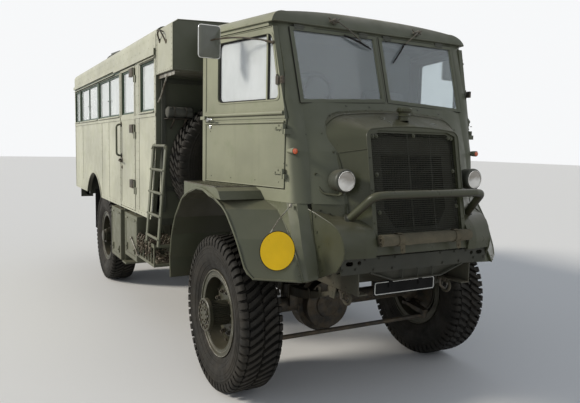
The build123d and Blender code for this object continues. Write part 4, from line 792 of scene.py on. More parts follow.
arms = Piece("wiper_arms")
blades = Piece("wiper_blades")
WIPER_OUT = vec(0.93, 0, 0.36)
for pivot_y, tip, low, high in ((-345, (-157, 2353), (-271, 2384), (-72, 2312)),
                                (338, (221, 2370), (226, 2376), (100, 2234))):
    base = vec(400, pivot_y, 2462)
    arms.lathe([(17, -6), (17, 8), (12, 14), (12, 26), (8, 30)], base, WIPER_OUT, 20)
    arms.rod(base + vec(4, -34, 2), base + vec(4, 34, 2), 7, 12)
    for way in (-1, 1):
        arms.rod(base + vec(0, way * 24, 10), base + vec(4, way * 44, 24), 4, 8)
    start, end = base + WIPER_OUT * 25, on_screen(*tip, 22)
    arms.tube([start, between(start, end, 0.5) + SCREEN_OUT * 8, end], 4.2)
    arms.rod(base + WIPER_OUT * 12, base + WIPER_OUT * 33, 11, 14, 9)
    a, b = on_screen(*low, 13), on_screen(*high, 13)
    for r, line in ((5, ((0, -4), (0.5, 1), (1, -4))), (3.2, ((0.1, 4), (0.5, 11), (0.9, 4)))):
        blades.tube([between(a, b, t) + SCREEN_OUT * rise for t, rise in line], r)
    blades.rod(end + SCREEN_OUT * 2, end - SCREEN_OUT * 12, 6, 10)
arms.done("metal_worn")
blades.done("seal_rubber")

part = Piece("cab_gutter")
for side in part.sides():
    part.tube([(x, side_y(x) + out, 2424) for x, out in ((-372, 6), (0, 8), (398, 6))], 6)
    part.rivets([(x, side_y(x) + 7, 2434) for x in range(-300, 301, 150)], (0.2, 1, 0.2), 4)
part.tube([(402, y, 2426) for y in (-770, -400, 0, 400, 770)], 5)
part.done("paint_green")

part = Piece("cab_front_fixings")
for y, z, r in ((-640, 1740, 6), (-520, 1915, 7), (-330, 1925, 8), (-150, 1925, 8), (250, 1925, 8),
                (430, 1905, 7), (600, 1860, 6), (-560, 1850, 5), (-600, 1800, 5), (-585, 1700, 5)):
    top, foot = (530, 690) if abs(y) < 480 else (520, 615)
    part.rivets([(between(top, foot, (1950 - z) / 310) - 1, y, z)], (0.9, 0, 0.42), r)
part.done("paint_dark")

part = Piece("dash_panel")
part.prism([(470, -640, 1800), (430, -640, 1905), (500, -640, 1930), (520, -640, 1800)], (0, 1280, 0))
part.done("paint_dark", bevel=8)
part = Piece("dash_dials")
for y, r in ((-560, 34), (-470, 48), (-380, 34), (60, 26), (140, 26)):
    part.lathe([(r, 0), (r, 6), (r - 5, 9), (r - 6, 4)], (449, y, 1858), (-0.93, 0, 0.36), 24)
part.done("metal_worn")
part = Piece("gear_levers")
for x, y, top in ((150, -180, 1985), (90, 120, 1900)):
    part.tube(bent([(x + 90, y, 1716), (x + 60, y, 1830), (x, y - 10, top)], 90), 8, 10)
    part.lathe([(0, -22), (16, -14), (20, 0), (15, 14), (0, 20)], (x, y - 10, top + 8), UP, 18)
part.done("metal_dark")


def pad(name, side, x, z, crown, axis):
    """A sewn cushion: swollen between its corners along the axis, drawn in along three seams."""
    ends = (x, (352, 768), z)
    size = [high - low for low, high in ends]
    middle = [(low + high) / 2 for low, high in ends]
    part = Piece(name, side)
    bmesh.ops.create_cube(part.mesh, size=1.0)
    bmesh.ops.subdivide_edges(part.mesh, edges=part.mesh.edges[:], cuts=26, use_grid_fill=True)
    for v in part.mesh.verts:
        u = [abs(c * 2) for c in v.co]
        swell = prod(1 - u[i] ** 3.2 for i in range(3) if i != axis)
        place = []
        for i in range(3):
            a, b = (u[j] for j in range(3) if j != i)
            place.append(v.co[i] * size[i] * (1 - 0.05 * max(a, b) ** 6 - 0.10 * a ** 4 * b ** 4))
        sewn = cos(u[1] * pi * 3)
        groove = 5.0 * max(0.0, -sewn - 0.72) / 0.28
        way = 1 if place[axis] > 0 else -1
        place[axis] *= 1 - crown * 2 / size[axis]
        if u[axis] > 0.5:
            place[axis] += way * (crown * swell - (groove if way > 0 else 0) * min(1, swell * 3))
        v.co = [m + p for m, p in zip(middle, place)]
        v.co.y *= side
    part.done("seat_leather", slot="seat_cover", replaces="seats", smooth=60)


for side in HAND:
    pad("seat_cushion_*", side, (-268, 168), (1562, 1660), 20, 2)
    pad("seat_back_*", side, (-298, -202), (1664, 2118), 16, 0)

WHEEL_HUB = vec(210, -480, 1990)
COLUMN_LEAN = radians(38)
part = Piece("steering_rim_grip")
column = vec(-sin(COLUMN_LEAN), 0, cos(COLUMN_LEAN))
ahead = Vector(LEFT).cross(column)
for t in turns(48):
    spoke = cos(t) * Vector(LEFT) + sin(t) * ahead
    grip = WHEEL_HUB + spoke * 215 - column * 12.5
    part.lathe([(0, -3), (4, -1.5), (4, 1.5), (0, 3)], grip, spoke.cross(column), 8)
part.lathe([(30, 12), (30, 19), (22, 25), (0, 27)], WHEEL_HUB, column, 24)
part.done("seal_rubber")


# Nose: cowl flange, grille, lamps, roll, bumper, plates and mudguard edges
FACE_OUT = vec(0.9847, 0, 0.1743)
# Cab front: height, and x in the middle and on the shoulders
CAB_FRONT = [(1330, 765, 665), (1640, 690, 615), (1950, 530, 520), (2420, 390, 380)]
GRILLE = {"slot": "grille_mesh", "replaces": "radiator_grille"}
GRILLE_EDGE = [(-344, 1152), (344, 1152), (344, 1751), (279, 1775), (-279, 1775), (-344, 1751)]
CLIPS = [(-312, 1738), (-284, 1740), (0, 1748), (288, 1740), (312, 1736), (-300, 1512), (306, 1530),
         (-300, 1290), (312, 1310)]
SHROUD_EDGE = [(-326, 1175), (-170, 1168), (178, 1168), (326, 1175), (326, 1745), (-326, 1745)]
SHROUD_HOLE = [(-238, 1300), (-170, 1196), (178, 1196), (246, 1300), (246, 1632), (-238, 1632)]
LAMP = {"slot": "lamp", "replaces": "front_lamps"}
LAMP_AT = vec(827, 509, 1473)
SIGN = {"slot": "sign", "replaces": "sign_plates"}
SIGN_AT = vec(712, -886, 1073)
SIGN_OUT = vec(cos(radians(5)), 0, sin(radians(5)))
# Mudguard edge: x at y 600 and y 1110, z, and the edge's own y
MUDGUARD = [(-642, -642, 654, 1095), (-658, -658, 803, 1095), (-613, -613, 990, 1095),
            (-529, -529, 1134, 1095), (-369, -369, 1289, 1095), (-242, -242, 1341, 1095),
            (-75, -75, 1380, 1095), (58, 58, 1382, 1095),
            (359, 232, 1342, 1090), (548, 313, 1279, 1059), (736, 430, 1116, 1039), (876, 496, 947, 1021),
            (914, 507, 894, 985)]
APRON_EDGE = [(662, 1298), (720, 1280), (800, 1250), (850, 1230), (893, 1203), (921, 1168), (940, 1125),
              (951, 1080), (944, 1038), (930, 1012), (893, 956)]


def face_x(z):
    return 915 + (z - 1163) * (804 - 915) / 627


def on_face(y, z, out=0.0):
    """A point on the cowl's sloping face."""
    return vec(face_x(z), y, z) + FACE_OUT * out


def cab_front_x(y, z):
    for (za, ma, sa), (zb, mb, sb) in zip(CAB_FRONT, CAB_FRONT[1:]):
        if z <= zb:
            t = (z - za) / (zb - za)
            return between(between(ma, mb, t), between(sa, sb, t), min(1, max(0, (abs(y) - 470) / 170)))
    return 390


def arch(half, z0, z1, r):
    """The cowl's outline from its right foot over the top to its left foot, as (y, z)."""
    top, span = z1 - 20, half - r
    leg = [(-half, z) for z in spread(z0, top - r, 10)[:-1]]
    leg += [(-span - r * cos(t), top - r + r * sin(t)) for t in spread(0, pi / 2, 10)]
    over = [(y, top + 20 * (1 - (y / span) ** 2)) for y in spread(-span, span, 12)[1:-1]]
    return leg + over + [(-y, z) for y, z in reversed(leg)]


ROOT_ARCH = arch(560, 1045, 1888, 190)
FACE_ARCH = arch(362, 1045, 1800, 50)
ARCH_POINTS = len(ROOT_ARCH)


def cowl_point(i, share):
    """A point of the cowl, from its root at the cab to its face."""
    (ya, za), (yb, zb) = ROOT_ARCH[i], FACE_ARCH[i]
    return vec(between(600, face_x(zb), share), between(ya, yb, share), between(za, zb, share))


def cowl_meets_cab(i):
    low, high = 0.0, 1.0
    if cowl_point(i, 0).x < cab_front_x(*cowl_point(i, 0).yz):
        for _ in range(24):
            share = (low + high) / 2
            p = cowl_point(i, share)
            low, high = (share, high) if p.x < cab_front_x(p.y, p.z) else (low, share)
    return cowl_point(i, low)


def on_cab(place, out):
    """The place, carried along X to the cab's front."""
    return vec(cab_front_x(place.y, place.z) + out, place.y, place.z)


def cowl_flange():
    line = [p for p in map(cowl_meets_cab, range(ARCH_POINTS)) if p.z > 1335]
    part = Piece("cowl_flange")
    rows = []
    for before, p, after in zip(line[:1] + line, line, line[1:] + line[-1:]):
        out = vec(0, before.z - after.z, after.y - before.y).normalized()
        if out.dot(vec(0, p.y, p.z - 1500)) < 0:
            out = -out
        far = on_cab(p + out * 22, 2)
        near = on_cab(p + out * 5, 3)
        near.x = max(p.x + 1.5, near.x)
        rows.append([p + vec(7, 0, 0) + out * 0.5, near, far, far - vec(3, 0, 0)])
    part.grid(rows, closed=False)
    run = 0.0
    for a, b in zip(line, line[1:]):
        run += (b - a).length
        if run > 118:
            run = 0
            out = vec(0, b.y, b.z - 1450).normalized()
            part.bolt(on_cab(b + out * 17, 3), (0.92, 0, 0.38), 6.5, 6)
    part.done("paint_nose_shaded", smooth=50)


def cowl_seams():
    part = Piece("cowl_seams")
    for i, out in ((9, -1.5), (ARCH_POINTS - 10, 1.5)):
        part.tube([cowl_point(i, share) + vec(0, out, 0) for share in (0.42, 0.6, 0.8, 0.985)], 3.2)
    part.tube([cowl_point(i, 0.995) + vec(2, 0, 0) for i in range(3, ARCH_POINTS - 3)], 4.0)
    part.rivets([on_face(y, z, 5) for y in (-350, 350) for z in (1230, 1420, 1610)], FACE_OUT, 4)
    part.done("paint_nose_shaded")


def grille():
    part = Piece("grille_frame")
    band(part, [on_face(y, z) for y, z in GRILLE_EDGE], on_face(0, 1460), 20, -22, -11, FACE_OUT)
    for y, z in CLIPS:
        part.lathe([(13, 0), (13, 3), (11, 4.5), (7, 4.5), (7, 9), (5, 10), (0, 10)], on_face(y, z, -12),
                   FACE_OUT, 18)
    part.done("paint_nose_shaded", **GRILLE)

    part = Piece("grille_mesh")
    for z in (1170 + 12.6 * k for k in range(48)):
        reach = 328 if z < 1745 else between(328, 268, (z - 1745) / 24)
        part.rod(on_face(-reach, z, -15), on_face(reach, z, -15), 2.0, 4)
    for y in range(-323, 324, 13):
        part.rod(on_face(y, 1165, -18), on_face(y, 1750 if abs(y) > 300 else 1768, -18), 1.3, 4)
    for y, half in ((-40, 5), (135, 4)):
        corners = ((y - half, 1165), (y + half, 1165), (y + half, 1765), (y - half, 1765))
        part.prism([on_face(*corner, -21) for corner in corners], FACE_OUT * 2)
    part.done("mesh_metal", **GRILLE)

    part = Piece("radiator_shroud")
    part.grid([[on_face(y, z, out) for y, z in edge]
               for edge, out in ((SHROUD_EDGE, -42), (SHROUD_HOLE, -44), (SHROUD_HOLE, -120))],
               capped=False)
    part.prism([on_face(y, z, -40) for y, z in ((-326, 1634), (326, 1634), (326, 1642), (-326, 1642))],
               FACE_OUT * 3)
    part.done("shroud_paint", **GRILLE)

    part = Piece("radiator_core")
    for x, y, z in row((704, -270, 1130), (704, 270, 1130), 44):
        part.rod((x, y, z), (x, y, 1668), 3.0, 6)
    for x, y, z in row((707, -275, 1140), (707, -275, 1660), 36):
        part.rod((x, y, z), (x, -y, z), 1.4, 4)
    part.done("core_black")


def filler_cap():
    part = Piece("filler_cap")
    part.lathe([(35, 0), (36, 4), (44, 8), (47, 12), (47, 28), (43, 33), (24, 36), (0, 36)],
               (706, 0, 1886), UP, 36)
    for t in turns(18):
        x, y = 706 + 46.5 * cos(t), 46.5 * sin(t)
        part.rod((x, y, 1899), (x, y, 1913), 2.6, 6)
    part.lathe([(45, 0), (45, 3), (38, 7), (34, 14)], (706, 0, 1868), UP)
    part.done("paint_nose_shaded")


def headlamp(side):
    part = Piece("headlamp_shell_*", side)
    part.lathe([(0, -128), (20, -127), (34, -123), (47, -114), (56, -103), (62, -88), (66, -68),
                (66, -24), (70, -21), (71, -12), (70, -3), (66, 4), (60, 8), (56, 8.5), (54.5, 6.5),
                (61.2, -1), (61.2, -6), (56, -20), (45, -40), (28, -54), (12, -60), (0, -61)],
               LAMP_AT, AHEAD, 40)
    part.lathe([(16, 0), (16, 26), (20, 30), (20, 60)], LAMP_AT - vec(185, 0, 0), AHEAD, 20)
    part.bolt(LAMP_AT + vec(-12, 0, -70), DOWN, 5, 10, washer=False)
    part.done("paint_dark", **LAMP)
    part = Piece("headlamp_dish_*", side)
    part.lathe([(60.5, -2), (57, -12), (50, -26), (40, -39), (27, -49), (12, -55), (11, -50), (0, -48),
                (0, -49), (12, -56.5), (27, -51), (40, -41), (50, -28), (57, -14), (61, -4)],
               LAMP_AT, AHEAD, 40)
    part.lathe([(7, -50), (7, -34), (11, -26), (9, -17), (0, -13)], LAMP_AT, AHEAD, 16)
    part.tube(ring(LAMP_AT + vec(8, 0, 0), AHEAD, 56.5, 40), 1.3, loop=True)
    part.done("reflector", **LAMP)
    part = Piece("headlamp_lens_*", side)
    part.lathe([(61, -1), (61, 2), (52, 6.5), (38, 10), (20, 12.4), (0, 13), (0, 10), (20, 9.4), (38, 7),
                (52, 3.5), (60, -1)], LAMP_AT, AHEAD, 40)
    for y in range(-45, 46, 15):
        tall = sqrt(54 ** 2 - y ** 2)
        part.tube([LAMP_AT + vec(2.2 + 9.6 * (1 - (y * y + z * z) / 58 ** 2), y, z)
                   for z in spread(-tall, tall, 10)], 1.2, 6)
    part.done("lens_glass", **LAMP)
    part = Piece("headlamp_stirrup_*", side)
    part.tube(bent([(652, 602, 1498), (668, 598, 1440), (700, 584, 1392), (784, 520, 1386),
                    (806, 509, 1404)], 40), 7, 10)
    part.prism([(640, 585, 1486), (640, 618, 1486), (652, 618, 1512), (652, 585, 1512)], (12, 0, 0))
    part.box((780, 812), (495, 523), (1396, 1406)).rod((790, 509, 1384), (790, 509, 1408), 8, 6)
    part.done("paint_nose_shaded", bevel=1)


def apron_y(x):
    return 640 + (x - 721) * (577 - 640) / 197


def apron_end(side):
    """Rolled edge, rear seam and fixings of the apron's end plate."""
    part = Piece("apron_edge_*", side)
    line = []
    for x, z in APRON_EDGE:
        reach = 912 + (678.7 - apron_y(x)) / (678.7 - 430) * 40
        x = 655 + (x - 655) * (reach - 655) / 297
        line.append((x, apron_y(x) - 1, z))
    part.tube(line, 4.5)
    part.tube([(688, 652, 1292), (700, 650, 1180), (722, 642, 1060), (752, 633, 920)], 4)
    for z in (1262, 1170, 1085, 1000):
        x = between(692, 752, (1292 - z) / 372) + 16
        part.bolt((x, apron_y(x) + 0.5, z), (0.3, 1, 0), 6, 4)
    part.done("paint_nose_shaded")
    part = Piece("apron_fixings_*", side)
    for y, z, r in ((180, 1020, 8), (300, 1020, 8), (400, 1020, 9), (560, 965, 7), (470, 965, 7)):
        part.bolt((897, y, z), AHEAD, r, 6)
    part.lathe([(38, 0), (38, 5), (26, 10), (25, 16)], (814, 470.16, 1247.04), (225, -66, 196), 28)
    part.bolts([(742, 560, 1274), (700, 600, 1292)], (0.3, 0, 1), 7, 6)
    part.done("paint_bumper_shaded")


def mudguard(side):
    """Rolled outer edge, foot and inner seam, and the tread of the step plate."""
    part = Piece("mudguard_rim_*", side)
    edge = [(between(a, b, (y - 600) / 510), y - 3, z) for a, b, z, y in MUDGUARD]
    part.tube(bent(edge, 70, 4), 7.5, 10)
    part.tube([(between(914, 507, (y - 600) / 510), y, 896) for y in (985, 900, 820, 762)], 6)
    seam = [vec(between(a, b, 157 / 510) + 3, 757, z) for a, b, z, _ in MUDGUARD[9:]]
    part.tube(seam, 4.5)
    part.rivets([between(p, q, t) + vec(2, 16, 0) for p, q in zip(seam, seam[1:]) for t in (0.25, 0.75)],
                (0.85, 0.4, 0.3), 5)
    part.done("paint_guard_shaded")
    part = Piece("step_plate_*", side)
    for x in range(-320, 235, 40):
        start = max(side_y(x) + 18, 790) + 12
        third = (1066 - start) / 3
        for m in range(3):
            near, far = start + third * m, start + third * (m + 1) - 14
            if far > near:
                part.rod((x, near, 1405), (x + 22, far, 1405), 2.6, 6)
    part.tube([(-340, side_y(-340) + 6, 1406), (-340, 1084, 1406), (244, 1084, 1406),
               (247, side_y(247) + 6, 1406)], 4)
    part.done("metal_worn")


def tow_shackle(side):
    part = Piece("tow_shackle_*", side)
    part.bolt((720, 415, 790), LEFT, 13, 12).bolt((720, 395, 790), (0, -1, 0), 13, 12)
    part.tube([(700, 371, 800), (700, 375, 745), (716, 405, 722), (700, 435, 745), (700, 439, 800)],
              8, 10)
    part.rod((700, 361, 792), (700, 449, 792), 9, 12)
    part.done("metal_worn")


def dished_guard():
    part = Piece("guard_ribs")
    for y in (-126, -6, 114):
        part.tube([(899, y, 938), (899, y, 884)], 4)
    part.tube([(899, -366, 936), (899, -188, 876), (899, 188, 876), (899, 366, 936)], 4.5)
    part.bolts([(897, y, 952) for y in (-340, -200, 200, 340)], AHEAD, 7, 6)
    part.tube([(899, -560, 1028), (899, 560, 1028)], 3.5)
    part.done("paint_bumper_shaded")
    part = Piece("guard_pan")
    rows = []
    for t in shares(8):
        half, z, x = between(352, 190, t), between(938, 881, t), 892 - 15 * sin(t * pi / 2)
        rows.append(row((x, -half, z), (x, half, z), 17) + row((x - 3, half, z), (x - 3, -half, z), 17))
    part.grid(rows).done("paint_bumper_shaded")


def apron_filler():
    """The strip between the cab's lower edge and the apron's top."""
    part = Piece("apron_filler")
    for side in part.sides():
        rows = []
        for y in spread(447, 640, 12):
            x = cab_front_x(y, 1330)
            low = 1296 - (x - 641) * 50 / 145
            profile = ((-2, 1336), (1, 1336), (4, 1322), (16, low), (12, low))
            rows.append([(x + ahead, y, z) for ahead, z in profile])
        part.grid(rows)
    part.done("paint_nose_shaded")


def plate_line(x, y, low, high, r, steps):
    return rounded([(x, -y, low), (x, y, low), (x, y, high), (x, -y, high)], r, steps)


def number_plate():
    """A blank plate with a pale border, on two hangers."""
    part = Piece("plate_board").grid([plate_line(x, 249, 753, 845, 12, 4) for x in (776, 780)])
    for x, z in (((781, 787), (800, 871)), ((781, 880), (866, 871))):
        part.box(x, (-135, -105), z).box(x, (105, 135), z)
    part.bolts([(780, -120, 834), (780, 120, 834)], AHEAD, 5, 4, washer=False)
    part.done("plate_black", bevel=0.8, **SIGN)
    part = Piece("plate_border")
    part.tube(plate_line(780.5, 238, 762, 836, 14, 5), 3.0, loop=True).done("plate_white", **SIGN)


def round_sign():
    """The blank yellow disc with its stay."""
    part = Piece("round_sign")
    part.lathe([(0, -2), (112, -2), (113.5, -1), (113.5, 1), (111, 2.2), (102, 2.4), (0, 2.6)], SIGN_AT,
               SIGN_OUT, 56)
    part.done("sign_yellow", **SIGN)
    part = Piece("round_sign_rim")
    part.tube(ring(SIGN_AT + SIGN_OUT * 0.5, SIGN_OUT, 112, 56), 2.4, loop=True)
    part.lathe([(0, -6), (111, -6), (112, -2.5), (0, -2.4)], SIGN_AT, SIGN_OUT, 56)
    part.tube([(584, -886, 1078), SIGN_AT - vec(4, 0, 0)], 8, 10)
    part.done("plate_black", **SIGN)
    part = Piece("sign_stay")
    part.tube([(606, -748, 1317), (666, -862, 1240), (700, -928, 1174), (703, -928, 1150)], 3.6, 10)
    part.rod((604, -745, 1326), (607, -752, 1308), 9, 12)
    part.done("metal_pale", slot="sign")


cowl_flange()
cowl_seams()
grille()
filler_cap()
for side in HAND:
    headlamp(side)
    apron_end(side)
    mudguard(side)
    tow_shackle(side)
dished_guard()
apron_filler()
number_plate()
round_sign()

# Rolled canvas muff under the grille, with two straps
ROLL = vec(961, 0, 1136)
ROLL_HALF = 348
ROLL_TURNS = 3.4
ROLL_STEPS = 149
CLOTH_THICK = 3.0
STRAPS = (-215, 228)
part = Piece("muff_roll")
rows = []
for y in spread(-ROLL_HALF, ROLL_HALF, 56):
    wave = 0.8 * sin(y / 37) + 0.6 * sin(y / 11 + 1)
    pull = sum(exp(-((y - strap_y) / 26) ** 2) for strap_y in STRAPS)
    outer, inner = [], []
    for j in range(ROLL_STEPS + 1):
        t = tau * ROLL_TURNS * j / ROLL_STEPS
        share = j / (ROLL_STEPS + 1)
        r = between(10, 38.2, j / ROLL_STEPS) + wave * share - 2.4 * pull * share ** 2
        r += 0.5 * sin(5 * t + y / 60) * share
        out = vec(cos(t - 0.6), 0, -sin(t - 0.6) * 0.985)
        outer.append(ROLL + vec(0, y, 0) + out * r)
        inner.append(ROLL + vec(0, y, 0) + out * (r - CLOTH_THICK))
    rows.append((outer, inner))
part.grid([outer + inner[::-1] for outer, inner in rows], capped=False)
for end in (rows[0], rows[-1]):
    part.grid(end, closed=False)
cloth = part.done("canvas_cloth", slot="canvas", replaces="canvas_roll", smooth=60)
for n, y in enumerate(STRAPS):
    part = Piece(f"muff_strap_{n}")
    middle = ROLL + vec(0, y, 0)
    rows = []
    for t in spread(-0.9, tau * 0.97 - 0.9, 40):
        out = vec(cos(t), 0, -sin(t))
        rows.append([middle + vec(0, dy, 0) + out * r
                     for dy, r in ((-18, 37.5), (-18, 39.6), (18, 39.6), (18, 37.5))])
    part.grid(rows)
    part.prism([(984, y - 4, 1107), (984, y + 30, 1107), (990, y + 30, 1062), (987, y + 13, 1054),
                (990, y - 4, 1062)], (-3, 0, 0))
    buckle = ((31, -20, -27), (31, 20, -27), (36, 20, -16), (36, -20, -16))
    part.tube([middle + Vector(p) for p in buckle], 2, 6, loop=True)
    part.rod((985, y + 13, 1076), (992, y + 13, 1076), 6, 10)
    part.done("canvas_strap", slot="canvas", replaces="canvas_roll")


# Box body: window band, strips with rivets, rain hoods, door fittings
REAR, FRONT, HALF = -5000, -950, 1115
SILL, HEAD = 1930, 2330
SIDE_WINDOWS = [(-4960, -4625), (-4540, -3375), (-3290, -2245), (-1440, -1010)]
LEFT_WINDOW = (-2160, -1525)
# Posts: x, foot, lowest rivet and number of rivets
POSTS = ((-4400, 1180, 1200, 10), (-3130, 1086, 1200, 10), (-2760, 1086, 1200, 10))
LEFT_POSTS = ((-2200, 1086, 1110, 11), (-1560, 1086, 1110, 11))
SIDE_SILLS = {-1: ((REAR + 42, -4092), (-3172, -2196), (-1612, -1108)),
              1: ((REAR + 42, -4092), (-3172, -1108))}


def strip(part, x, z, low=-1.0, high=3.0):
    """A flat strip on the body's side between the ends of x and z."""
    part.box(x, (HALF + low, HALF + high), z)


def rivet_row(part, start, end, count, out=3.0, r=5.0):
    """Rivets on the body's side from start to end, both (x, z)."""
    places = row((start[0], HALF + out, start[1]), (end[0], HALF + out, end[1]), count)
    part.rivets(places, LEFT, r)


def around(x, z, wide):
    """Four bars that frame an opening, as the ends of (across, up)."""
    upright = (z[0] + wide, z[1] - wide)
    return ((x, (z[0], z[0] + wide)), (x, (z[1] - wide, z[1])), ((x[0], x[0] + wide), upright),
            ((x[1] - wide, x[1]), upright))


def sash_bars(part, x, z):
    """A sash bar all round a window, set back in its opening."""
    for xs, zs in around(x, z, 15):
        strip(part, xs, zs, -19, -10)


def body_windows(side):
    sash = Piece("window_sashes_*", side)
    trim = Piece("window_trim_*", side)
    windows = list(SIDE_WINDOWS)
    if side > 0:
        windows.insert(3, LEFT_WINDOW)
    for x0, x1 in windows:
        sash_bars(sash, (x0 + 1, x1 - 1), (SILL + 1, HEAD - 1))
        if x1 - x0 > 900:
            middle = (x0 + x1) / 2
            strip(sash, (middle - 9, middle + 9), (SILL + 14, HEAD - 14), -19, -10)
            for x in (middle - 40, middle + 40):
                strip(sash, (x - 14, x + 14), (2096, 2108), -11, -5)
        trim.tube([(x0 - 10, HALF + 1, SILL - 8), (x1 + 10, HALF + 1, SILL - 8)], 7)
        strip(trim, (x0 - 16, x1 + 16), (SILL - 16, SILL - 10), 0, 15)
    sash.done("painted_shade_green", bevel=1.5)
    trim.done("paint_body_sunlit", bevel=1)
    # Dark strips over the posts between windows and a band along the roof's edge: painted shade.
    part = Piece("window_posts_*", side)
    for x in ((-4617, -4548), (-3367, -3298), (-2239, -2205)):
        strip(part, x, (SILL - 2, 2346), 0, 2.4)
    strip(part, (REAR + 6, -2205), (2336, 2368), 0, 2.4)
    rivet_row(part, (REAR + 40, 2352), (-2230, 2352), 34, 2.4, 4)
    part.done("painted_shade_green")


def body_strips(side):
    part = Piece("body_strips_*", side)
    strip(part, (FRONT - 44, FRONT - 4), (1642, 2388))
    rivet_row(part, (FRONT - 34, 1665), (FRONT - 34, 2370), 13)
    rivet_row(part, (FRONT - 13, 1700), (FRONT - 13, 2345), 7, 3, 4)
    strip(part, (REAR + 3, REAR + 40), (1045, 2366))
    rivet_row(part, (REAR + 20, 1075), (REAR + 20, 2350), 18)
    part.prism([(-1104, HALF, 1067), (-1062, HALF, 1067), (-952, HALF, 1600), (-950, HALF, 1640)],
               (0, 3, 0))
    rivet_row(part, (-1073.22, 1109.72), (-964.78, 1585.28), 9)
    for x0, x1 in SIDE_SILLS[side]:
        strip(part, (x0, x1), (1042, 1084))
        rivet_row(part, (x0 + 14, 1063), (x1 - 14, 1063), max(3, int((x1 - x0) / 75)))
    for x, foot, lowest, count in POSTS + LEFT_POSTS * (side > 0):
        strip(part, (x - 18, x + 18), (foot, 1878), -1, 2)
        rivet_row(part, (x, lowest), (x, 1860), count, 2, 4.5)
    far, count = (-2215, 38) if side < 0 else (-975, 52)
    for z in (1876, 1912):
        rivet_row(part, (REAR + 60, z), (far, z), count, 0, 3.6)
    arc = spread(radians(30.6), radians(149.4), 36)
    part.tube([(REAR_AXLE + 534 * cos(t), HALF + 1, 770 + 534 * sin(t)) for t in arc], 9)
    part.done("paint_body_sunlit")


def rain_hoods(side):
    part = Piece("rain_hoods_*", side)
    for x0, x1, z in ((-4985, -2440, 2352), (-1470, FRONT - 4, 2347)):
        profile = ((3, 4), (18, -8), (18.8, -12), (16, -11), (3, 0))
        part.grid([[(x, HALF + out, z + rise) for out, rise in profile] for x in (x0, x1)])
    part.done("paint_body_sunlit")


for side in HAND:
    body_windows(side)
    body_strips(side)
    rain_hoods(side)

# Side door, on the right
part = Piece("side_door_fittings", -1)
for z in (1270, 1765, 2260):
    part.box((-1742, -1628), (1117, 1141), (z - 8, z + 66))
    part.prism([(-1621, 1117, z + 4), (-1621, 1117, z + 56), (-1720, 1117, z + 44),
                (-1720, 1117, z + 16)], (0, 7, 0))
    part.bolts([(x, 1124, z + dz) for x, dz in ((-1640, 16), (-1640, 44), (-1672, 30), (-1704, 30))],
               LEFT, 5, 4, washer=False)
part.lathe([(26, 0), (26, 5), (20, 9), (13, 11), (13, 30), (0, 31)], (-2140, HALF, 1500), LEFT, 24)
part.tube(bent([(-2140, 1142, 1500), (-2120, 1152, 1496), (-2030, 1152, 1486)], 20), 8, 10)
part.lathe([(18, 0), (18, 5), (9, 8), (0, 8)], (-2140, HALF, 1430), LEFT, 20)
for z in (1543, 1842):
    part.lathe([(24, 0), (24, 4), (15, 9)], (-2160, HALF, z), LEFT, 20)
part.done("metal_dark", "side_door", bevel=0.6)
part = Piece("side_door_panels", -1)
for x in ((-2181, -2150), (-1656, -1625)):
    strip(part, x, (1064, 2346), -0.5)
for z in ((1064, 1100), (1878, 1916), (2338, 2347)):
    strip(part, (-2150, -1656), z, -0.5)
for x in (-2166, -1640):
    rivet_row(part, (x, 1090), (x, 2330), 17, 3, 4.2)
rivet_row(part, (-2120, 1082), (-1690, 1082), 7, 3, 4.2)
part.done("paint_body_sunlit", "side_door")
part = Piece("side_door_sash", -1)
sash_bars(part, (-2139, -1671), (1931, 2329))
part.done("painted_shade_green", "side_door", bevel=1.5)
part = Piece("side_door_posts", -1)
for ends, high in (((-2228, -2196), 4), ((-1574, -1476), 2.4)):
    strip(part, ends, (1086, 2340), -1, high)
for x, count, out in ((-2212, 18, 4), (-1558, 16, 2.4), (-1492, 16, 2.4)):
    rivet_row(part, (x, 1110), (x, 2320), count, out, 4.5)
part.done("paint_body_sunlit")

# Front compartment over the cab: edges, panel creases, rivets, cleats
FRONT_FACE = -525
part = Piece("luton_edges")
top_edge = [(-1115, 2200), (-1115, 2530), (-1075, 2554), (0, 2606), (1075, 2554), (1115, 2530),
            (1115, 2200)]
part.tube([(FRONT_FACE, y * 0.997, z - 1) for y, z in top_edge], 5.5)
part.tube([(FRONT_FACE, -1112, 2202), (FRONT_FACE, 1112, 2202)], 5)
for side in part.sides():
    for x, z in (((-560, -526), (2206, 2524)), ((-945, -920), (2206, 2524)),
                 ((-918, -562), (2203, 2230))):
        part.box(x, (1114.5, 1117.5), z)
    for x in (-543, -932):
        part.rivets(row((x, 1117.5, 2225), (x, 1117.5, 2505), 8), LEFT, 4.5)
    part.rivets(row((-900, 1117.5, 2216), (-580, 1117.5, 2216), 7), LEFT, 4.5)
    part.tube([(-948, 1075, 2555), (-526, 1075, 2555)], 4)
part.rivets(row((-523.5, -1080, 2222), (-523.5, 1080, 2222), 24), AHEAD, 4.2)
part.rivets([(-523.5, y, 2582 - abs(y) * 50 / 1075) for y in spread(-1050, 1050, 23)], AHEAD, 4.2)
part.done("paint_body_sunlit")
part = Piece("luton_creases")
for y in (-700, -420, 0, 420, 700):
    part.tube([(-522.5, y, 2228), (-522.5, y, 2565 - abs(y) * 0.03)], 3.4, 6)
part.done("paint_body_sunlit")
part = Piece("luton_cleats")
for side in part.sides():
    far = 1127 if side > 0 else 1150
    part.tube(bent([(-846, 1119, 2446), (-800, far - 4, 2490), (-752, far, 2512), (-712, far - 4, 2490),
                    (-682, 1119, 2420)], 40), 6)
    for x, z in ((-846, 2446), (-682, 2420)):
        part.lathe([(17, 0), (17, 4), (9, 7)], (x, HALF, z), LEFT, 16)
    part.rod((-752, 1114, 2500), (-752, far, 2512), 5, 8)
part.done("metal_dark")

# Body roof: sheet joints, walkway battens, rail and ventilators
ROOF_JOINTS = range(-4960, -999, 660)


def crown(y, out=0.0):
    return 2580 + 40 * (1 - (y / 1044) ** 2) + out


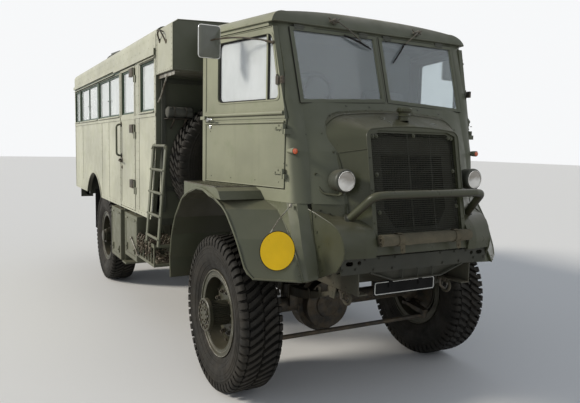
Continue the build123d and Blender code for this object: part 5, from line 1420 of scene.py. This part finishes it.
part = Piece("body_roof_joints")
for x in ROOF_JOINTS:
    part.grid([[(x + dx, y, min(crown(y, dz), 2619.5)) for y in spread(-1040, 1040, 16)]
               for dx, dz in ((-17, -2), (-17, 2.5), (17, 2.5), (17, -2))], closed=False)
    part.rivets([(x, y, crown(y, 2.5)) for y in (-930, -800, -670, -540, 540, 670, 800, 930)], UP, 5)
for side in part.sides():
    for z in (2430, 2490):
        part.rivets(row((-4960, 1119, z), (-1000, 1119, z), 28), LEFT, 4)
part.done("paint_body_sunlit")
part = Piece("roof_rails")
y, low = 1032, crown(1032)
for side in part.sides():
    part.tube(bent([(-3236, y, low), (-3180, y, low + 26), (-3060, y, low + 32), (-2940, y, low + 29),
                    (-2890, y, low)], 60), 6)
    part.tube(bent([(-2900, y, low), (-2840, y, low + 24), (-2700, y, low + 30)], 60), 6)
    part.prism([(-2860, y - 30, low + 14), (-2524, y - 20, low + 2), (-2524, y + 20, low + 2),
                (-2860, y + 30, low + 14)], (0, 0, 18))
part.done("paint_dark", bevel=2)
part = Piece("roof_ventilators")
for x in (-3970, -2000):
    part.lathe([(120, -6), (120, 3), (92, 5), (88, 8), (60, 9.3), (0, 9.8)], (x, 640, crown(640)),
               (0, 0.047, 1), 40)
    for t in turns(12):
        y = 640 + 108 * sin(t)
        part.rivets([(x + 108 * cos(t), y, crown(y, 2.5))], (0, 0.047, 1), 4)
part.done("paint_body_sunlit")


# Recess behind the cab: brackets, frames, spare carrier and stowed roll
part = Piece("luton_brackets")
for side in part.sides():
    part.box((-948, -540), (1052, 1096), (2190, 2196)).box((-948, -540), (1092, 1096), (2168, 2192))
    part.rod((-724, 1096, 2172), (-866, 1100, 2029), 7, 10)
    part.rod((-866, 1100, 2029), (-952, 1098, 1990), 7, 10)
    part.bolts([(x, 1074, 2190) for x in (-900, -760, -600)], DOWN, 8, 6)
part.done("metal_pale", bevel=0.8)

part = Piece("recess_frames")
for side in part.sides():
    part.box((-950, -922), (1046, 1078), (1120, 2186)).box((-950, -936), (560, 590), (1120, 2186))
for z in (1300, 2160):
    part.box((-950, -938), (-1046, 1046), (z - 16, z + 16))
    part.bolts(row((-938, -1030, z), (-938, 1030, z), 16), AHEAD, 6, 4, washer=False)
part.done("paint_dark", bevel=1)

part = Piece("spare_carrier")
part.bolts([SPARE_AT + vec(24, 142 * cos(t), 142 * sin(t)) for t in turns(10)], AHEAD, 12, 14)
part.lathe([(66, 10), (66, 30), (58, 38), (30, 42), (26, 60), (0, 62)], SPARE_AT + vec(12, 0, 0), AHEAD)
part.box((-737, -725), (-585, -405), (1486, 1504))
part.done("metal_worn", bevel=1.5)

STOWED_ROLL = vec(-874, 0, 1912)
TIES = (-1000, -905)
part = Piece("stowed_roll")
rows = []
for k, y in enumerate(spread(-1052, -846, 24)):
    drawn_in = sum(4 * exp(-((y - tie) / 12) ** 2) for tie in TIES) + (8 if k in (0, 24) else 0)
    loop = []
    for t in turns(40):
        r = 47 + 2.6 * sin(3 * t + y / 40) + 1.4 * sin(7 * t + y / 16) - drawn_in
        loop.append(STOWED_ROLL + vec(r * cos(t), y, r * sin(t) * 0.93))
    rows.append(loop)
part.grid(rows).done("canvas_grey", smooth=60)
part = Piece("stowed_roll_shelf").box((-948, -830), (-1062, -836), (1860, 1866))
for y in TIES:
    loop = [STOWED_ROLL + vec(50 * cos(t), y, 47 * sin(t)) for t in turns(20)]
    part.tube(loop, 3, 6, loop=True).tube([(-836, y, 1862), (-940, y, 1790)], 7)
part.done("metal_dark")

# Ladder: rung ends, ribs along the rungs and bolts at the top
LADDER_TOP, LADDER_FOOT = vec(-985, -1126.3, 1650), vec(-1114, -1150, 868)
LADDER_WIDTH = 332
RUNGS = (0.24, 0.47, 0.7, 0.93)
part = Piece("ladder_fittings")
for dx, way in ((0, -1), (LADDER_WIDTH, 1)):
    for share in (0.03, *RUNGS):
        p = between(LADDER_TOP, LADDER_FOOT, share) + vec(dx + way * 21, 0, 0)
        part.lathe([(11, 0), (11, 5), (7, 8), (0, 8)], p, (way, 0, 0), 14)
    part.bolt(between(LADDER_TOP, LADDER_FOOT, 0.02) + vec(dx, -6, 0), (0, -1, 0), 8, 7)
for share in RUNGS:
    p = between(LADDER_TOP, LADDER_FOOT, share)
    for k in range(9):
        part.lathe([(11.5, -4), (12.6, -2), (12.6, 2), (11.5, 4)], p + vec(40 + 31 * k, 0, 0), AHEAD, 12)
part.done("paint_locker")


# Chains over the rack, as links along slack lines
LINK_STEP = 20.4


def link(part, middle, ahead, across, half, wide, wire):
    loop = [middle + ahead * (half * cos(t)) + across * (wide * sin(t)) for t in turns(12)]
    part.tube(loop, wire, 5, loop=True)


def chain(name, path):
    part = Piece(name)
    points = [Vector(p) for p in path]
    runs = [(a, b, (b - a).length) for a, b in zip(points, points[1:])]
    total = sum(length for _, _, length in runs)
    for k in range(ceil(total / LINK_STEP)):
        left = k * LINK_STEP
        for a, b, length in runs:
            if left <= length or b is points[-1]:
                break
            left -= length
        ahead = (b - a).normalized()
        link(part, a + ahead * left, ahead, frame_along(ahead)[k % 2], 15, 10, 4.6)
    part.done("chain_steel")


for n, x in enumerate((-1540, -1452, -1360, -1262, -1168)):
    sway = 14 * sin(n * 2.1)
    line = [(x + sway * t, between(-884, -1094, t), 846 - 26 * sin(pi * t) + (10 if t > 0.9 else 0))
            for t in shares(12)]
    x += sway
    chain(f"rack_chain_{n}", line + [(x, -1112, 842), (x + 4, -1117, 800 - 12 * (n % 3)),
                                     (x + 7, -1116, 742 - 22 * (n % 2))])
part = Piece("rack_chain_heap")
for n in range(46):
    x, y = random.uniform(-1560, -1095), random.uniform(-1070, -900)
    z = 668 + 62 * random.random() ** 1.2 * (1 - abs((x + 1327) / 300) ** 2 * 0.5)
    way = vec(random.uniform(-1, 1), random.uniform(-1, 1), random.uniform(-0.5, 0.5)).normalized()
    link(part, vec(x, y, z), way, frame_along(way)[0], 21, 14, 5)
part.done("chain_steel")
part = Piece("rack_fittings")
part.bolts([(x, -892, z) for x in (-1561, -1135) for z in (900, 960, 1020)], (0, -1, 0), 7, 6)
part.tube([(-1588, -1101, 833), (-1065, -1101, 833)], 5).done("paint_locker")

# Locker lids, hinges and hasps, tank straps and cap
FACE_Y = 1105
part = Piece("locker_fittings")
for side, x0, x1, z0 in ((-1, -2691, -2252, 490), (-1, -2078, -1607, 585), (1, -2691, -2252, 490)):
    part.side = side
    upright = (z0 + 38, 940)
    for xs, zs in (((x0 + 14, x1 - 14), (z0 + 14, z0 + 38)), ((x0 + 14, x1 - 14), (940, 966)),
                   ((x0 + 14, x0 + 38), upright), ((x1 - 38, x1 - 14), upright)):
        part.box(xs, (FACE_Y, FACE_Y + 4), zs)
    corners = ((x0 + 3, z0 + 3), (x1 - 3, z0 + 3), (x1 - 3, 997), (x0 + 3, 997))
    part.tube([(x, FACE_Y, z) for x, z in corners], 4, 6, loop=True)
    for x in (x0 + 90, x1 - 90):
        part.rod((x - 34, FACE_Y + 6, 958), (x + 34, FACE_Y + 6, 958), 7, 10)
        part.box((x - 10, x + 10), (FACE_Y, FACE_Y + 10), (z0 + 60, z0 + 130))
        part.rod((x, FACE_Y + 5, z0 + 95), (x, FACE_Y + 18, z0 + 95), 6, 10)
    part.rivets(row((x0 + 30, FACE_Y + 4, 953), (x1 - 30, FACE_Y + 4, 953), 7), LEFT, 4)
part.done("paint_locker", bevel=1)
part = Piece("locker_clamp").rod((-1822, -1112, 789), (-1526, -1120, 662), 7, 10)
part.lathe([(0, -16), (13, -12), (15, 0), (13, 12), (0, 16)], (-1800, -1114, 780), (296, -8, -127), 14)
part.done("metal_pale")
part = Piece("tank_fittings")
for x in (-1930, -1655, -1380):
    part.box((x - 22, x + 22), (1089, 1093), (556, 1003)).box((x - 22, x + 22), (787, 1093), (555, 560))
    part.bolts([(x, 1093, z) for z in (620, 940)], LEFT, 7, 6)
for x in (-2068, -1262):
    part.box((x, x + 20), (1088, 1092), (566, 996))
part.lathe([(44, 0), (44, 12), (52, 14), (52, 28), (46, 33), (0, 34)], (-1520, 1090, 900), LEFT)
part.done("paint_locker", bevel=1)


# Rear wall: double door in relief, strips, lamps; springs and frame below
WALL_FACE = -4992
REAR_LAMP = {"slot": "lamp", "replaces": "rear_lamps"}
DOOR_LEAVES = ((-560, -4), (4, 560))


def pane_line(x, y0, y1, low, high, r):
    return rounded([(x, y0, low), (x, y1, low), (x, y1, high), (x, y0, high)], r)


part = Piece("rear_wall_panel").box((-4993, -4960), (-1074.7, 1074.7), (1065, 2394.7))
for y, z in (((-1072, 1072), (1068, 1104)), ((-1072, 1072), (2352, 2392)), ((-1072, -1034), (1104, 2352)),
             ((1034, 1072), (1104, 2352)), ((-1034, 1034), (1880, 1906))):
    part.box((-4997, WALL_FACE), y, z)
for z in (1086, 2372, 1893):
    part.rivets(row((-4997, -1050, z), (-4997, 1050, z), 26), BACK, 4.4)
for y in (-1053, 1053):
    part.rivets(row((-4997, y, 1130), (-4997, y, 2330), 15), BACK, 4.4)
part.done("paint_body_sunlit", slot="green_paint", replaces="body_rear_wall")
part = Piece("rear_door_panels")
for y0, y1 in DOOR_LEAVES:
    for y, z in (((y0, y1), (1120, 1170)), ((y0, y1), (2270, 2320)), ((y0, y0 + 46), (1170, 2270)),
                 ((y1 - 46, y1), (1170, 2270)), ((y0 + 46, y1 - 46), (1690, 1730))):
        part.box((-4998, WALL_FACE), y, z)
    part.tube(pane_line(-4994, y0 + 100, y1 - 100, 1790, 2200, 40), 5.5, loop=True)
part.done("paint_body_sunlit", bevel=1)
# The panes are opaque; their darkness is painted shade for the inside behind them.
part = Piece("rear_door_windows")
for y0, y1 in DOOR_LEAVES:
    part.grid([pane_line(x, y0 + 103, y1 - 103, 1793, 2197, 38) for x in (-4995, WALL_FACE)])
part.done("glass_painted_dark_inside")
part = Piece("rear_door_hinges")
for side in part.sides():
    for z in (1240, 1710, 2200):
        part.box((-4999, WALL_FACE), (440, 566), (z - 16, z + 16))
        part.rod((-4995, 574, z - 40), (-4995, 574, z + 40), 4.6, 12)
part.lathe([(26, 0), (26, 3), (14, 5), (14, 6.5), (0, 6.8)], (-4993, -60, 1600), BACK, 22)
part.tube(bent([(-4996, -60, 1600), (-4996.5, -80, 1600), (-4996.5, -180, 1594)], 16), 3.2, 10)
part.rod((-4995.5, 30, 1200), (-4995.5, 30, 2240), 3.8, 10)
for z in (1210, 1500, 1900, 2230):
    part.box((-4999.6, WALL_FACE), (14, 46), (z - 12, z + 12))
part.done("paint_dark", bevel=0.6)


def rear_lamp(side):
    part = Piece("rear_lamp_shell_*", side)
    part.lathe([(38, 0), (44, 5), (45, 10), (45, 44), (42, 48)], (-4940, 960, 960), BACK)
    part.box((-4960, -4940), (900, 1060), (900, 1064.7))
    part.bolts([(-4960, 1030, 1030), (-4960, 1030, 930)], BACK, 6, 5)
    part.done("paint_dark", bevel=1, **REAR_LAMP)
    part = Piece("rear_lamp_lens_*", side)
    part.lathe([(42, 0), (42, 3), (34, 8), (18, 11), (0, 11.6)], (-4988, 960, 960), BACK)
    part.done("lens_red", **REAR_LAMP)
    part = Piece("rear_lamp_ring_*", side)
    part.tube(ring((-4989, 960, 960), BACK, 43, 32), 3, loop=True).done("metal_dark", **REAR_LAMP)


def mudflap_bar(side):
    part = Piece("mudflap_bar_*", side).box((-4197, -4192), (726, 1002), (1000, 1032))
    part.bolts([(-4197, y, 1016) for y in (760, 864, 970)], BACK, 8, 6)
    for z in (600, 680, 760):
        part.tube([(-4193, 740, z), (-4193, 990, z)], 3, 6)
    part.done("metal_dark")


def spring_fittings(side):
    """Shackle bolts, clips and pins on the springs, and rivets along the frame."""
    part = Piece("spring_fittings_*", side)
    for axle in (0, REAR_AXLE):
        for x in (axle - 52, axle + 52):
            for y in (373, 447):
                part.rod((x, y, 590), (x, y, 690), 8, 8)
            part.rod((x, 365, 682), (x, 455, 682), 9, 8)
        for dx in (-330, 330, -470, 470):
            low = 611 + 143 * ((abs(dx) - 60) / 560) ** 1.6
            for y in ((374, 379), (441, 446)):
                part.box((axle + dx - 12, axle + dx + 12), y, (low, low + 66))
        for dx in (-620, 620):
            part.rod((axle + dx, 368, 760), (axle + dx, 452, 760), 15, 12)
    for x, z in ((-4800, 940), (-4740, 825)):
        part.rivets(row((x, 445, z), (x + 5640, 445, z), 42), LEFT, 7)
    part.done("paint_under")


for side in HAND:
    rear_lamp(side)
    mudflap_bar(side)
    spring_fittings(side)

part = Piece("exhaust_pipe")
part.tube(bent([(-200, 300, 870), (-700, 310, 760), (-1000, 330, 740), (-1090, 330, 735)], 80), 25, 14)
part.lathe([(26, 0), (74, 20), (80, 40), (80, 560), (74, 580), (26, 600)], (-1090, 330, 735), BACK, 28)
part.tube(bent([(-1690, 330, 735), (-2400, 330, 735), (-2600, 360, 760), (-2800, 560, 740),
                (-2860, 760, 730)], 120), 24, 14)
part.done("rusty")
part = Piece("brake_pipes")
part.tube(bent([(700, -437, 940), (-400, -437, 946), (-2800, -437, 946), (-3400, -437, 940),
                (-3590, -300, 640)], 60), 5, 6)
part.tube(bent([(640, 437, 946), (-300, 437, 946), (-3000, 437, 946)], 60), 6, 6)
for x in range(-3200, 500, 400):
    part.box((x - 8, x + 8), (-446, -428), (934, 956))
part.done("metal_dark")
part = Piece("axle_fittings")
for axle, way in ((0, -1), (REAR_AXLE, 1)):
    for t in turns(12):
        for out in (-way, way):
            part.bolt((axle + out * 58, -155 + 198 * cos(t), 530 + 198 * sin(t)), (out, 0, 0), 10, 8)
    part.lathe([(100, 0), (94, 12), (60, 22), (0, 26)], (axle - way * 124, -155, 530), (-way, 0, 0))
part.done("metal_dark")
part = Piece("drawbar_fittings")
part.lathe([(27, 0), (27, 6), (20, 12), (20, 22), (9, 24), (9, 34), (0, 35)], (-4965, 0, 922), UP, 24)
part.bolts([(-4948, y, z) for y in (-52, 52) for z in (830, 930)], BACK, 11, 9)
part.done("metal_worn")


# Floor, world and lights
FLOOR_HALF = 60
floor_look = Look("stage").finish(colour=(0.78, 0.77, 0.75, 1), rough=0.9)
floor_mesh = bpy.data.meshes.new("floor")
corners = [(-FLOOR_HALF, -FLOOR_HALF, 0), (FLOOR_HALF, -FLOOR_HALF, 0), (FLOOR_HALF, FLOOR_HALF, 0),
           (-FLOOR_HALF, FLOOR_HALF, 0)]
floor_mesh.from_pydata(corners, [], [(0, 1, 2, 3)])
floor_mesh.materials.append(floor_look)
floor = bpy.data.objects.new("floor", floor_mesh)
add_to_scene(floor)

world = bpy.data.worlds.new("studio")
bpy.context.scene.world = world
world.use_nodes = True
world.node_tree.nodes.clear()
sky = Nodes(world.node_tree)
rays = sky.add("ShaderNodeLightPath").outputs
seen = sky.maths("MAXIMUM", rays["Is Camera Ray"], rays["Is Transmission Ray"])
seen = sky.maths("MAXIMUM", seen, rays["Is Glossy Ray"])
soft, backdrop = (sky.add("ShaderNodeBackground", {"Color": colour, "Strength": strength}).outputs[0]
                  for colour, strength in (((0.80, 0.88, 1.0, 1), 0.42), ((0.93, 0.94, 0.95, 1), 1)))
blend = sky.add("ShaderNodeMixShader", {0: seen, 1: soft, 2: backdrop}).outputs[0]
sky.add("ShaderNodeOutputWorld", {"Surface": blend})


def light(name, kind, place, target, energy, size, colour=(1, 1, 1)):
    data = bpy.data.lights.new(name, kind)
    data.energy = energy
    data.color = colour
    if kind == "SUN":
        data.angle = size
    else:
        data.shape = "SQUARE"
        data.size = size
    obj = bpy.data.objects.new(name, data)
    obj.location = place
    obj.rotation_euler = (Vector(target) - Vector(place)).to_track_quat("-Z", "Y").to_euler()
    add_to_scene(obj)


light("key", "SUN", (-3.5, -8.0, 4.6), (0, 0, 0), 3.0, radians(12), (1, 0.95, 0.86))
light("fill", "AREA", (9, 2, 6), (1, 0, 1), 60, 6)
